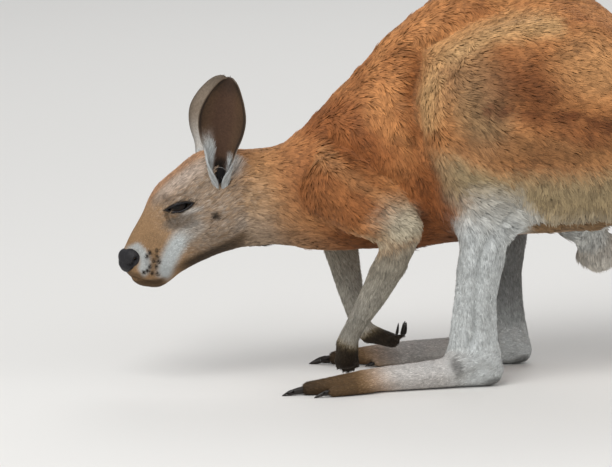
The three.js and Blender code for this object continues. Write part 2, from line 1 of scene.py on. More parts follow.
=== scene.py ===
"""The looks of a life-size male red kangaroo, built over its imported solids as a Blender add-on.

One skin covers all the flesh. Over it lie the locks of the coat, and the eyes, nose, ears and claws
are pieces of their own. Everything is in metres, in the frame of the solids: the nose towards -X,
the animal's left side towards -Y and the ground at z = 0.
"""

import json
import math

import bmesh
import bpy
import numpy as np
from mathutils import Matrix, Vector, noise
from mathutils.bvhtree import BVHTree
from mathutils.kdtree import KDTree

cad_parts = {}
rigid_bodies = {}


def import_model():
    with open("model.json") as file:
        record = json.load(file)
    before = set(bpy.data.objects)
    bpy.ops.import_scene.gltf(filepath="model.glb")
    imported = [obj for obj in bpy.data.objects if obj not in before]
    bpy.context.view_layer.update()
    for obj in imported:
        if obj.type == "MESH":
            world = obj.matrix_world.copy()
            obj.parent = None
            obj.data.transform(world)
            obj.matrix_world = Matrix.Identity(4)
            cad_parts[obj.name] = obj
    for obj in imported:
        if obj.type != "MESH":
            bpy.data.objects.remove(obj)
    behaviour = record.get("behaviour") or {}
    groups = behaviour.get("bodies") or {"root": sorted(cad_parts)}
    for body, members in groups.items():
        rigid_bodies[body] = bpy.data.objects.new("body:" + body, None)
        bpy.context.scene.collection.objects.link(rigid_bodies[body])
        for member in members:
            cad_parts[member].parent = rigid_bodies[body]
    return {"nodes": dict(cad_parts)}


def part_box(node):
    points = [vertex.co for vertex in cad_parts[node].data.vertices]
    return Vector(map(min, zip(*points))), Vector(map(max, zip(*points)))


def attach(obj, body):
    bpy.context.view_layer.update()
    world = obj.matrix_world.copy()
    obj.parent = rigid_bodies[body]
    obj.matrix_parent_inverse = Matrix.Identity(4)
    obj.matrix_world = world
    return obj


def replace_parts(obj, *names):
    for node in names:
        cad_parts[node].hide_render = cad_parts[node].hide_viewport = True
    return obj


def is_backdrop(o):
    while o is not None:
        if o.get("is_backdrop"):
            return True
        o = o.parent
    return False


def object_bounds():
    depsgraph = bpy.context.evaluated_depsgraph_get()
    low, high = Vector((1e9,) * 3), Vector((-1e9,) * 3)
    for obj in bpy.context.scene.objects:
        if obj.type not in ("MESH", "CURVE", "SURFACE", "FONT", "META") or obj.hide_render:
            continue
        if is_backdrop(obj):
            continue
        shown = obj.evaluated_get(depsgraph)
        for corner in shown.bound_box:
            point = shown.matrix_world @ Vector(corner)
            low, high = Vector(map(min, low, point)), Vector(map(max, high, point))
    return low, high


bl_info = {
    "name": "Red kangaroo",
    "version": (1, 0, 0),
    "blender": (4, 5, 0),
    "location": "3D View > Sidebar > Kangaroo",
    "description": "Builds the skin, coat, face and claws of a red kangaroo over its solids",
    "category": "Add Mesh",
}

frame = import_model()
CAD_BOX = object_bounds()

# ------------------------------------------------------------------ where things are

SIDES = {"left": -1, "right": 1}  # sign of y on each side
HEAD_TILT = math.radians(31)
HEAD_ALONG = Vector((math.cos(HEAD_TILT), 0, math.sin(HEAD_TILT)))  # from the nose to the nape
HEAD_UP = Vector((-math.sin(HEAD_TILT), 0, math.cos(HEAD_TILT)))
EYE = {"along": 0.116, "up": 0.026, "radius": 0.018}  # in the head's own frame, from the nose tip
OFF_MIDDLE = 0.02  # the eyes are further out than this
RIGHT_LEG_BACK = 0.074  # the right hind foot stands this far behind the left one


def middle_of(node):
    low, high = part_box(node)
    return (low + high) / 2


BETWEEN_EYES = (middle_of("eye_left") + middle_of("eye_right")) / 2
EYE_OUT = (middle_of("eye_right") - middle_of("eye_left")).y / 2
NOSE_TIP = BETWEEN_EYES - HEAD_ALONG * EYE["along"] - HEAD_UP * EYE["up"]
GROUND_MARK = NOSE_TIP - Vector((-0.284, 0, 0.197))  # side views of the body are measured from here


def head_point(along, up, out=0.0):
    """A point in the head's frame: along from the nose tip, up from it, and out to one side."""
    return NOSE_TIP + HEAD_ALONG * along + HEAD_UP * up + Vector((0, out, 0))


def in_head(points):
    """Each point's distance along the head, up from the nose tip, and out from the middle."""
    reach = points - np.array(NOSE_TIP)
    return reach @ np.array(HEAD_ALONG), reach @ np.array(HEAD_UP), reach[:, 1]


def body_point(x, y, z):
    return GROUND_MARK + Vector((x, y, z))


def body_place(points):
    """Each point's distance towards the back from the ground mark, and its height."""
    x, _, z = (points - np.array(GROUND_MARK)).T
    return x, z


def outward_facing(points, normals):
    """How far each point's normal turns away from the animal's middle, from -1 to 1."""
    return normals[:, 1] * np.sign(points[:, 1])


# ------------------------------------------------------------------ small tools


def colour(red, green, blue):
    """A display colour from 0 to 255 as the linear colour that sockets take."""
    parts = [c / 255 for c in (red, green, blue)]
    return tuple(c / 12.92 if c <= 0.04045 else ((c + 0.055) / 1.055) ** 2.4 for c in parts)


def ease(low, high, values):
    """0 below low, 1 above high, and a smooth step between them."""
    share = np.clip((values - low) / (high - low), 0, 1)
    return share * share * (3 - 2 * share)


def unit(vectors):
    return vectors / np.maximum(np.linalg.norm(vectors, axis=-1, keepdims=True), 1e-9)


def blend(vectors, aim, share):
    """Vectors that turn to one aim by each point's share."""
    return vectors * (1 - share)[:, None] + np.array(aim) * share[:, None]


def bell(distance, width):
    """1 at no distance, and down to nearly nothing at two widths."""
    return np.exp(-((distance / width) ** 2))


def wave(points, scale):
    """Smooth noise at each point, about -1 to 1, that changes over 1 / scale metres."""
    return np.array([noise.noise(place) for place in (points * scale).tolist()]) * 1.6


def oval(across, height, centre, half, tilt=0.0, edge=0.5):
    """1 inside an oval of a side view and 0 outside it, with a soft edge as a share of its size."""
    turn = math.radians(tilt)
    u, v = across - centre[0], height - centre[1]
    reach = np.hypot(
        (u * math.cos(turn) + v * math.sin(turn)) / half[0],
        (v * math.cos(turn) - u * math.sin(turn)) / half[1],
    )
    return 1 - ease(1 - edge, 1 + edge, reach)


def line_distance(points, line):
    """Distance from each point to a line of points, and how far along the line it is, 0 to 1."""
    best = np.full(len(points), np.inf)
    place = np.zeros(len(points))
    line = np.array(line, float)
    for i, (start, end) in enumerate(zip(line[:-1], line[1:])):
        run = end - start
        share = np.clip((points - start) @ run / (run @ run), 0, 1)
        distance = np.linalg.norm(points - start - share[:, None] * run, axis=1)
        nearer = distance < best
        best[nearer] = distance[nearer]
        place[nearer] = (i + share[nearer]) / (len(line) - 1)
    return best, place


def linked_object(name, data):
    made = bpy.data.objects.new(name, data)
    bpy.context.scene.collection.objects.link(made)
    return made


def as_mesh(carrier):
    """The mesh that an object's modifiers or curve make. The object itself goes."""
    made = bpy.data.meshes.new_from_object(carrier.evaluated_get(bpy.context.evaluated_depsgraph_get()))
    bpy.data.objects.remove(carrier)
    return made


def add_piece(name, mesh, material, slot, smooth=True):
    """A finished piece that rides on the body. The slot it is given is not used."""
    piece = linked_object(name, mesh)
    mesh.materials.clear()
    mesh.materials.append(material)
    if smooth:
        mesh.shade_smooth()
    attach(piece, "root")
    return piece


def unwrap_piece(piece):
    """Lays a piece out flat in a map of its own, where its locks have their places."""
    piece.data.uv_layers.new(name="Unwrap")
    bpy.context.view_layer.objects.active = piece
    piece.select_set(True)
    bpy.ops.object.mode_set(mode="EDIT")
    bpy.ops.mesh.select_all(action="SELECT")
    bpy.ops.uv.smart_project(angle_limit=math.radians(66), island_margin=0.001)
    bpy.ops.object.mode_set(mode="OBJECT")
    piece.select_set(False)


def merged_copy(nodes, grow=0.0):
    """The solids of some nodes as one bmesh, each with its doubles merged and its skin moved out."""
    whole = bmesh.new()
    for node in nodes:
        before = len(whole.verts)
        whole.from_mesh(frame["nodes"][node].data)
        whole.verts.ensure_lookup_table()
        fresh = whole.verts[before:]
        bmesh.ops.remove_doubles(whole, verts=fresh, dist=1e-5)
    whole.normal_update()
    for vert in whole.verts:
        vert.co += vert.normal * grow
    return whole


def mesh_of(shape, name):
    mesh = bpy.data.meshes.new(name)
    shape.to_mesh(mesh)
    shape.free()
    return mesh


def read_rows(items, key, size, kind=float):
    """What every item of a Blender list holds under a key, one row for each."""
    values = np.zeros(len(items) * size, kind)
    items.foreach_get(key, values)
    return values.reshape(-1, size)


def sort_faces(shape):
    """Puts faces in the order of their points, because solidify leaves a rim's faces in no fixed one."""
    shape.verts.index_update()
    count = len(shape.verts)

    def number(face):
        first, second, third = sorted(vert.index for vert in face.verts)[:3]
        return float((first * count + second) * count + third)

    shape.faces.sort(key=number)


def points_of(mesh):
    return read_rows(mesh.vertices, "co", 3)


def normals_of(mesh):
    return read_rows(mesh.vertices, "normal", 3)


def surface_of(mesh):
    """A mesh as a tree in which the nearest place or a ray's hit can be found."""
    return BVHTree.FromPolygons(points_of(mesh).tolist(), [list(face.vertices) for face in mesh.polygons])


def move_points(mesh, points):
    mesh.vertices.foreach_set("co", points.ravel())
    mesh.update()


def write_attribute(mesh, name, values):
    kind = "FLOAT_VECTOR" if values.ndim == 2 else "FLOAT"
    attribute = mesh.attributes.new(name, kind, "POINT")
    attribute.data.foreach_set("vector" if values.ndim == 2 else "value", values.ravel())


def read_attribute(mesh, name):
    attribute = mesh.attributes[name]
    if attribute.data_type == "FLOAT_VECTOR":
        return read_rows(attribute.data, "vector", 3)
    return read_rows(attribute.data, "value", 1)[:, 0]


class Net:
    """Which points of a mesh are neighbours, to smooth what they carry."""

    def __init__(self, mesh):
        self.start, self.end = read_rows(mesh.edges, "vertices", 2, np.int64).T
        self.count = len(mesh.vertices)
        self.degree = np.maximum(self.sum_around(np.ones(self.count)), 1)

    def sum_around(self, values):
        return np.bincount(self.start, values[self.end], self.count) + np.bincount(
            self.end, values[self.start], self.count
        )

    def smooth(self, values, passes, strength=0.5):
        """Each value drawn towards the mean of its neighbours, pass after pass."""
        columns = [values] if values.ndim == 1 else list(values.T)
        done = []
        for column in columns:
            for _ in range(passes):
                column = column + strength * (self.sum_around(column) / self.degree - column)
            done.append(column)
        return done[0] if values.ndim == 1 else np.stack(done, 1)


# ------------------------------------------------------------------ shader maths


class Wire:
    """One value in a material. Arithmetic on it adds the Math nodes that it stands for."""

    def __init__(self, finish, socket):
        self.finish = finish
        self.socket = socket

    def maths(self, operation, *values):
        return self.finish.node("ShaderNodeMath", {"operation": operation}, dict(enumerate(values)))

    def __add__(self, other):
        return self.maths("ADD", self, other)

    def __sub__(self, other):
        return self.maths("SUBTRACT", self, other)

    def __rsub__(self, other):
        return self.maths("SUBTRACT", other, self)

    def __mul__(self, other):
        return self.maths("MULTIPLY", self, other)

    __radd__ = __add__
    __rmul__ = __mul__

    def clamped(self):
        return self.maths("MINIMUM", self.maths("MAXIMUM", self, 0.0), 1.0)

    def step(self, low, high):
        """0 below low and 1 above high, with a smooth step between them."""
        settings = {"interpolation_type": "SMOOTHSTEP"}
        inputs = {"Value": self, "From Min": low, "From Max": high}
        return self.finish.node("ShaderNodeMapRange", settings, inputs)


class Finish:
    """A material and the nodes that make it."""

    def __init__(self, name):
        self.material = bpy.data.materials.new(name)
        self.material.use_nodes = True
        self.tree = self.material.node_tree
        self.shader = self.tree.nodes["Principled BSDF"]

    def node(self, kind, settings=None, inputs=None, output=0):
        """A node of any kind: its settings are set first, then its sockets get values or links."""
        made = self.tree.nodes.new(kind)
        for name, value in (settings or {}).items():
            setattr(made, name, value)
        for name, value in (inputs or {}).items():
            self.join(value, made.inputs[name])
        return Wire(self, made.outputs[output])

    def join(self, value, socket):
        if isinstance(value, Wire):
            self.tree.links.new(value.socket, socket)
        elif socket.type == "RGBA":
            socket.default_value = (*value, 1.0)
        else:
            socket.default_value = value

    def attribute(self, name):
        return self.node("ShaderNodeAttribute", {"attribute_name": name}, output=2)

    def noise(self, scale, detail):
        """A smooth grain over the piece, from about 0 to 1."""
        place = self.node("ShaderNodeTexCoord", output=3)  # its Object socket
        return self.node("ShaderNodeTexNoise", {}, {"Vector": place, "Scale": scale, "Detail": detail})

    def mix(self, factor, first, second, how="MIX"):
        """One colour turned into another. Sockets 6, 7 and output 2 are the ones for colours."""
        settings = {"data_type": "RGBA", "blend_type": how}
        return self.node("ShaderNodeMix", settings, {0: factor, 6: first, 7: second}, output=2)

    def shaded(self, tone, level):
        """A colour made lighter or darker by a value, where 1 keeps it."""
        grey = self.node("ShaderNodeCombineColor", {}, {0: level, 1: level, 2: level})
        return self.mix(1.0, tone, grey, "MULTIPLY")

    def bump(self, height, strength, distance):
        inputs = {"Height": height, "Strength": strength, "Distance": distance}
        self.set("Normal", self.node("ShaderNodeBump", {}, inputs))

    def set(self, name, value):
        self.join(value, self.shader.inputs[name])

    def surface(self, tone, roughness, specular):
        self.set("Base Color", tone)
        self.set("Roughness", roughness)
        self.set("Specular IOR Level", specular)


# ------------------------------------------------------------------ the skin's regions and markings

REGIONS = {
    "head": ["head"],
    "neck": ["neck"],
    "trunk": ["trunk"],
    "scrotum": ["scrotum"],
    "tail": ["tail_root", "tail_middle", "tail_tip"],
    **{
        part: [f"{part}_{side}" for side in SIDES]
        for part in ("thigh", "shank", "foot", "upper_arm", "forearm", "hand")
    },
}
FLESH = [node for nodes in REGIONS.values() for node in nodes]
# in the order in which they are laid over the rufous
MASKS = ("tan", "olive", "rust", "grey", "pale", "dark")

# the opening between the lids, round the eye's own place
EYE_OPENING = {"slant": -16, "half": 0.0208, "over": 0.0056, "under": 0.0070}


def eye_outline(along, up):
    """Where a point of the head's side view lies about the eye's opening: below 1 is inside it."""
    turn = math.radians(EYE_OPENING["slant"])
    u, v = along - EYE["along"], up - EYE["up"]
    length = u * math.cos(turn) + v * math.sin(turn)
    height = v * math.cos(turn) - u * math.sin(turn)
    lid = np.where(height > 0, EYE_OPENING["over"], EYE_OPENING["under"])
    return (length / EYE_OPENING["half"]) ** 2 + np.abs(height) / lid


def near_line(across, height, line, inner, outer):
    """1 within inner of a line in a side view, 0 beyond outer, and the place along the line."""
    distance, place = line_distance(np.stack([across, height], 1), line)
    return 1 - ease(inner, outer, distance), place


# lines of a side view: the first three along and up on the head, the others from the ground mark
CHEEK_STRIPE = [(0.041, -0.053), (0.070, -0.031), (0.091, -0.018), (0.119, -0.014)]
TEAR_LINE = [(0.096, 0.030), (0.092, 0.020), (0.091, 0.008)]
MOUTH = [(-0.002, -0.031), (0.004, -0.038), (0.014, -0.047), (0.027, -0.056), (0.044, -0.061)]
THIGH_RIM = [(0.158, 0.420), (0.165, 0.462), (0.178, 0.503), (0.250, 0.538), (0.300, 0.553), (0.350, 0.551)]
THIGH_FRONT = [(0.150, 0.370), (0.148, 0.440), (0.160, 0.500)]
THIGH_FOLD = [(0.245, 0.440), (0.326, 0.428), (0.429, 0.405)]
SHANK_GROOVE = [(0.262, 0.262), (0.248, 0.215), (0.244, 0.150), (0.243, 0.090), (0.238, 0.060)]
ARM_RIDGE = [(0.010, 0.358), (0.045, 0.330), (0.078, 0.305), (0.110, 0.288)]

WHISKER_SPOTS = [
    (0.035, -0.016), (0.042, -0.014), (0.048, -0.024), (0.040, -0.027), (0.046, -0.032), (0.031, -0.031),
    (0.039, -0.036), (0.025, -0.035), (0.028, -0.042), (0.035, -0.047), (0.019, -0.035), (0.052, -0.016),
]  # along and up
SPOT_HALF = (0.0041, 0.0028)

# what each region carries all over
REGION_TONES = {
    "tail": {"tan": 0.45},
    "upper_arm": {"tan": 0.10},
    "forearm": {"tan": 0.85, "olive": 0.75, "grey": 0.22, "dark": 0.22},
    "hand": {"olive": 0.8},
    "scrotum": {"tan": 0.8, "olive": 0.5, "pale": 0.6},
}

# oval patches: centre and half sizes in side view, tilt, soft edge, and the strength of each marking
FACE_PATCHES = (
    ((0.108, 0.062), (0.034, 0.010), -8, 0.5, {"pale": 0.14}),  # above the brow
    ((0.100, 0.044), (0.018, 0.008), -20, 0.5, {"dark": 0.30}),  # brow
    ((0.108, 0.002), (0.034, 0.015), -14, 0.5, {"grey": 0.75}),  # below the eye
    # the darkest part below the eye: partly painted shade
    ((0.103, 0.006), (0.024, 0.010), -14, 0.5, {"dark": 0.44}),
    ((0.045, 0.002), (0.026, 0.014), 10, 0.5, {"dark": 0.26}),  # bridge of the nose
    ((0.124, 0.0120), (0.018, 0.0045), -14, 0.5, {"pale": 0.45}),  # light line under the lid
    ((0.036, -0.028), (0.013, 0.020), -30, 0.4, {"dark": 0.42}),  # whisker pad
    ((0.149, -0.013), (0.0055, 0.0085), 20, 0.5, {"dark": 0.92}),  # mole on the cheek
    ((0.062, -0.001), (0.009, 0.018), 15, 0.5, {"dark": 0.26}),
    ((0.004, -0.034), (0.018, 0.007), -45, 0.5, {"dark": 0.60}),  # under the nose
)
THIGH_PATCHES = (
    ((0.232, 0.440), (0.040, 0.070), 12, 0.7, {"olive": 0.48, "grey": 0.12, "dark": 0.20}),
    ((0.290, 0.466), (0.070, 0.044), -8, 0.7, {"rust": 0.60, "dark": 0.25}),
    ((0.320, 0.378), (0.120, 0.024), -4, 0.7, {"olive": 0.30, "rust": 0.40, "dark": 0.12}),
    ((0.400, 0.495), (0.060, 0.045), -10, 0.5, {"tan": 0.35}),
)
SHOULDER_PATCHES = (
    ((0.045, 0.380), (0.080, 0.042), -25, 0.5, {"rust": 0.80}),
    ((0.026, 0.312), (0.080, 0.052), -20, 0.5, {"rust": 0.66}),
)


def leg_place(points):
    """Distance towards the back from the nearer hind leg's own place, and the height."""
    x, z = body_place(points)
    low = 1 - 0.7 * ease(0.25, 0.55, z)
    return x - np.where(points[:, 1] > GROUND_MARK.y, RIGHT_LEG_BACK, 0.0) * low, z


class Marks(dict):
    """How strong each marking is at each point. Where laid ones of a kind meet, the stronger stays."""

    def __init__(self, count):
        super().__init__((name, np.zeros(count)) for name in MASKS)

    def add(self, name, values):
        self[name] = self[name] + values

    def lay(self, name, values):
        self[name] = np.maximum(self[name], values)

    def lay_patches(self, patches, across, height, where):
        for centre, half, tilt, edge, strengths in patches:
            shape = where * oval(across, height, centre, half, tilt, edge)
            for name, strength in strengths.items():
                self.lay(name, shape * strength)

    def fade(self, name, share):
        self[name] = self[name] * (1 - share)


def head_zones(points):
    """How far each point belongs to the crown, to the nape behind it and to the head's middle line."""
    along, up, out = in_head(points)
    nape = ease(0.015, 0.05, up) * ease(0.19, 0.25, along)
    return ease(0.036, 0.058, up), nape, 1 - ease(0.008, 0.026, np.abs(out))


def head_marks(points, parts, mark):
    """The face: ginger crown with painted rim light along its middle line, grey temples, white nose band
    and cheek stripe, dark spots and rims, and painted shade under the chin and jaw and at the ears' feet.
    """
    head, neck = parts["head"], parts["neck"]
    along, up, _ = in_head(points)
    crown, nape, middle = head_zones(points)
    below_crown = 1 - crown

    face = (head + 0.8 * neck) * (1 - ease(0.160, 0.26, along)) * (1 - nape)
    cheek = ease(0.07, 0.12, along) * below_crown
    mottle = np.clip(0.5 + 0.5 * wave(points, 240), 0, 1)
    mark.lay("grey", face * np.maximum((0.30 + 0.24 * cheek) * below_crown, (0.38 + 0.26 * mottle) * cheek))
    mark.lay("dark", face * 0.18 * (1 - mottle) * cheek)
    flecks = 0.24 * mottle * ease(0.05, 0.12, along) * below_crown
    # less pale along the crown's middle line, so that the rufous shows: painted rim light on the forehead's
    # top edge
    mark.lay("pale", face * (flecks + 0.42 * crown * (1 - 0.7 * middle)))
    mark.lay("grey", head * 0.26 * below_crown * (1 - ease(0.06, 0.11, along)))
    mark.lay("dark", head * 0.20 * (1 - ease(0.05, 0.10, along)) * below_crown)
    mark.lay_patches(FACE_PATCHES, along, up, head)

    band, place = near_line(along, up, CHEEK_STRIPE, 0.004, 0.021)
    mark.lay("pale", head * 1.1 * band * (1.0 - 0.70 * ease(0.50, 1, place)) * ease(0.024, 0.046, along))
    from_pad = np.abs(np.hypot((along - 0.011) / 0.95, (up + 0.009) / 1.12) - 0.0215)
    beside_pad = ease(0.010, 0.018, along) * (1 - ease(0.004, 0.012, up))
    mark.lay("pale", head * 0.92 * (1 - ease(0.003, 0.012, from_pad)) * beside_pad)
    throat = ease(0.13, 0.22, along) * ease(0.01, 0.06, -up)
    mark.lay("pale", (head + 0.35 * neck * (1 - ease(0.18, 0.24, along))) * 0.62 * throat)

    # painted shade under the chin and along the jaw: dark there, with the pale taken away
    chin = ease(0, 0.008, -0.036 - up - 0.45 * along) * (1 - ease(0.030, 0.052, along))
    jaw = ease(0, 0.014, -0.044 - up - 0.05 * (along - 0.06)) * ease(0.045, 0.085, along)
    mark.lay("dark", head * 0.78 * chin)
    mark.lay("dark", head * 0.86 * jaw * (1 - 0.75 * ease(0.13, 0.20, along)))
    mark.fade("pale", head * np.maximum(chin, jaw * (1 - 0.8 * band)))

    jitter = 0.0012 * wave(points, 700)
    for spot in WHISKER_SPOTS:
        mark.lay("dark", head * oval(along + jitter, up - jitter, spot, SPOT_HALF, 60))
    tear, _ = near_line(along, up, TEAR_LINE, 0.0015, 0.006)
    mark.lay("dark", head * 0.60 * tear)
    mark.lay("dark", head * (1 - ease(1.25, 1.75, eye_outline(along, up))))
    mouth, place = near_line(along, up, MOUTH, 0.0004, 0.0022)
    mark.lay("dark", head * 0.7 * mouth * (1 - 0.8 * ease(0.5, 1, place)))
    mark.lay("pale", head * 0.90 * ear_base(points) * (1 - ease(0.066, 0.080, up)))
    # painted shade: nearly black skin inside the tube at the foot of each ear
    mark.lay("dark", head * 0.97 * ear_hollow(points))


def thigh_marks(points, normals, parts, mark):
    """The thigh's tan rim, partly painted light on its ridge, its grey and rust patches, partly painted
    shade in its fold and painted shade along the ham's lower edge, and the khaki edge and cream below.
    """
    x, z = leg_place(points)
    thigh = parts["thigh"]
    # tan along the thigh's rim: partly paler long hair, partly painted light on the ridge
    rim, _ = near_line(x, z, THIGH_RIM, 0.002, 0.026)
    mark.lay("tan", (thigh + 0.6 * parts["trunk"]) * rim * 0.9)
    mark.lay_patches(THIGH_PATCHES, x, z, thigh)

    # rust and dark in the thigh's fold and the hollow below it: partly the coat's brownish rust, partly
    # painted shade of the crease
    fold, _ = near_line(x, z, THIGH_FOLD, 0.004, 0.026)
    hollow = oval(x, z, (0.383, 0.399), (0.070, 0.022), -8, 0.8)
    broken = 0.7 + 0.3 * wave(points, 60)
    mark.lay("rust", thigh * np.maximum(0.9 * fold * broken, 0.7 * hollow))
    mark.lay("dark", thigh * np.maximum(0.34 * fold, 0.26 * hollow) * broken)

    edge = 0.376 - 0.030 * ease(0.186, 0.266, x)
    khaki = thigh * (1 - ease(edge - 0.030, edge + 0.020, z))
    for name, strength in (("tan", 0.65), ("olive", 0.72), ("grey", 0.08), ("dark", 0.10)):
        mark.lay(name, khaki * strength)
    # painted shade: rust and dark in a strip beneath the ham's overhanging lower edge
    strip = thigh * ease(0.300, 0.325, x) * (1 - ease(0.256, 0.266, z))  # along the ham's lower edge
    mark.lay("rust", strip * 0.45)
    mark.lay("dark", strip * 0.26)
    cream = khaki * (1 - ease(0.285, 0.345, z + 1.2 * np.maximum(x - 0.300, 0)))
    cream = cream * (1 - 0.6 * (1 - ease(0.195, 0.225, x)) * ease(0.26, 0.29, z))
    inner = ease(0.2, 0.7, -outward_facing(points, normals)) * thigh
    mark.lay("pale", inner * 0.7 * (1 - ease(0.38, 0.46, z)))
    knee = (np.maximum(cream * 0.60, khaki * 0.05) + (1 - ease(0.24, 0.30, z)) * khaki * 0.3) * (1 - strip)
    foot = parts["foot"] * (0.78 + 0.17 * ease(0.19, 0.25, x))
    mark.lay("pale", knee + parts["shank"] * 0.97 + foot)


def leg_marks(points, normals, parts, mark):
    """The shank's groove and grey front, with painted shade in the groove and on the side facing the other
    leg,
    and the foot: brown toes, and dark rubs at ankle and heel.
    """
    x, z = leg_place(points)
    shank, foot = parts["shank"], parts["foot"]
    outward = outward_facing(points, normals)
    # painted shade: darker on the shank's side that faces the other leg, above the foot
    mark.lay("dark", shank * ease(0.1, 0.6, -outward) * ease(0.0, 0.14, z) * 0.68)
    # grey along the shank's groove is painted shade; the shank's front is grey too
    groove, _ = near_line(x, z, SHANK_GROOVE, 0.002, 0.010)
    mark.lay("grey", shank * 0.35 * np.maximum(groove, 1 - ease(0.205, 0.222, x)))

    toe_place = x + 0.4 * z + np.where(points[:, 1] > 0, 0.045, 0)  # the right foot has less brown
    mark.lay("tan", foot * 0.9 * (1 - ease(0.07, 0.16, toe_place)))
    mark.fade("pale", foot * (1 - ease(0.065, 0.145, toe_place)))
    toes = foot * (1 - ease(0.060, 0.118, toe_place))
    mark.lay("dark", toes * (0.79 + 0.18 * (1 - ease(-0.045, 0.050, x))))
    ankle = ease(0.1, 0.5, outward) * 0.55 * oval(x, z, (0.216, 0.036), (0.010, 0.013), 30)
    heel = 0.60 * oval(x, z, (0.274, 0.008), (0.014, 0.007), 10)
    mark.lay("dark", (shank + foot) * np.maximum(ankle, heel))


def body_marks(points, normals, parts, mark):
    """The tones of the regions, with rust in the trunk's hollows, partly painted shade, tan on its ridges
    as painted highlight, and pale beneath, with painted shade on the undersides.
    """
    x, z = body_place(points)
    along, up, _ = in_head(points)
    crown, nape, middle = head_zones(points)
    trunk, neck, head, arm = (parts[name] for name in ("trunk", "neck", "head", "upper_arm"))
    under = ease(0.25, 0.85, -normals[:, 2])
    belly = under * ease(0.17, 0.30, x)
    own = neck * (1 - 0.8 * ease(-0.14, -0.02, x))
    low = 1 - ease(-0.03, 0.06, up)
    toward = (1 - ease(0.17, 0.29, along)) * (1 - 0.7 * nape)  # the neck's fade towards the head
    # less tan on the crown, and least along its middle line, where the stronger rufous is painted rim light
    fade = (head + 0.65 * neck) * toward * (0.78 - 0.4 * crown * middle - 0.2 * crown)
    mark.add("tan", own * (0.20 + 0.30 * low) + fade + trunk * 0.4 * belly)
    mark.add("grey", own * 0.12 * low + (head + neck) * toward * 0.30 * low)
    mark.add("pale", trunk * 0.20 * belly + own * 0.12 * under)
    # painted shade: darker on the undersides of neck and trunk and on the lower neck
    mark.add("dark", (neck + trunk) * 0.18 * under + own * 0.22 * low)
    mark.add("pale", parts["tail"] * (0.30 * under + 0.25 * ease(0.9, 1.2, x)))
    mark.add("pale", parts["forearm"] * (0.28 + 0.16 * (1 - ease(0.12, 0.22, z))))
    for region, tones in REGION_TONES.items():
        for name, strength in tones.items():
            mark.add(name, parts[region] * strength)

    mark.lay_patches(SHOULDER_PATCHES, x, z, trunk + neck + arm)
    # rust on the flank in front of the thigh and low down: partly the coat's own rust, partly painted shade
    mark.lay("rust", trunk * 0.85 * oval(x, z, (0.165, 0.285), (0.050, 0.110), -14))
    low_flank = (1 - ease(0.26, 0.34, z)) * (1 - ease(0.0, 0.12, -x)) * (1 - 0.6 * ease(0.24, 0.34, x))
    mark.lay("rust", trunk * 0.75 * low_flank)
    # painted shadow: a rust line where the thigh's front meets the flank
    front, _ = near_line(*leg_place(points), THIGH_FRONT, 0.004, 0.022)
    mark.lay("rust", trunk * 0.5 * front)
    # painted highlight: tan along the ridge at the rear of the upper arm
    ridge, _ = near_line(x, z, ARM_RIDGE, 0.003, 0.016)
    mark.lay("tan", (arm + trunk) * 0.60 * ridge)

    before = oval(*leg_place(points), (0.420, 0.222), (0.055, 0.036))  # in front of the scrotum
    before = (trunk + parts["scrotum"]) * before * (1 - ease(0.03, 0.05, np.abs(points[:, 1])))
    mark.lay("pale", 0.80 * before)
    mark.lay("olive", 0.7 * before)


def arm_marks(points, parts, mark):
    """The khaki elbows and the nearly black hands."""
    x, z = body_place(points)
    arm, hand = parts["upper_arm"], parts["hand"]
    elbow = np.maximum(oval(x, z, (0.130, 0.254), (0.046, 0.036), -30, 0.7), 1 - ease(0.222, 0.256, z))
    for name, strength in (("tan", 0.8), ("olive", 0.8), ("pale", 0.26)):
        mark.lay(name, arm * strength * elbow)
    wrist = np.where(points[:, 1] < 0, ease(0.050, 0.074, z), ease(0.052, 0.066, z - 0.3 * (x - 0.095)))
    mark.fade("pale", hand)
    mark.add("pale", hand * 0.10 * wrist)
    mark.lay("dark", hand * (0.97 - 0.13 * wrist))


def markings(points, normals, parts):
    """How strong each marking is at each point, from 0 to 1."""
    mark = Marks(len(points))
    body_marks(points, normals, parts, mark)
    arm_marks(points, parts, mark)
    thigh_marks(points, normals, parts, mark)
    leg_marks(points, normals, parts, mark)
    head_marks(points, parts, mark)
    return {name: np.clip(values, 0, 1) for name, values in mark.items()}


# ------------------------------------------------------------------ the skin's folds

# a fold's line in side view, its width, its depth, and how far the rims beside it rise
LEG_FOLDS = (
    (
        [
            (0.190, 0.262), (0.172, 0.320), (0.150, 0.380), (0.146, 0.450),
            (0.163, 0.515), (0.240, 0.555), (0.300, 0.571), (0.350, 0.570),
        ],
        0.013, 0.0130, 0.0050,
    ),  # round the thigh's front and top
    (THIGH_FOLD, 0.018, 0.0075, 0.0020),
    (SHANK_GROOVE, 0.0070, 0.0052, 0.0014),
    ([(0.300, 0.300), (0.272, 0.262), (0.268, 0.230)], 0.010, 0.0035, 0.001),  # behind the knee
    ([(0.312, 0.259), (0.360, 0.258), (0.440, 0.258)], 0.0065, 0.0040, 0.0024),  # under the ham
)
BODY_FOLDS = (
    ([(0.010, 0.392), (0.060, 0.356), (0.100, 0.326), (0.136, 0.312)], 0.014, 0.0075, 0.0030),  # arm
    ([(-0.105, 0.335), (-0.098, 0.300), (-0.090, 0.262)], 0.012, 0.0022, 0.0010),  # throat
    ([(0.020, 0.250), (0.070, 0.238), (0.110, 0.236)], 0.010, 0.0035, 0.0010),  # under the arm
)
LID_FOLD = [(0.098, 0.040), (0.112, 0.042), (0.128, 0.036), (0.140, 0.026)]


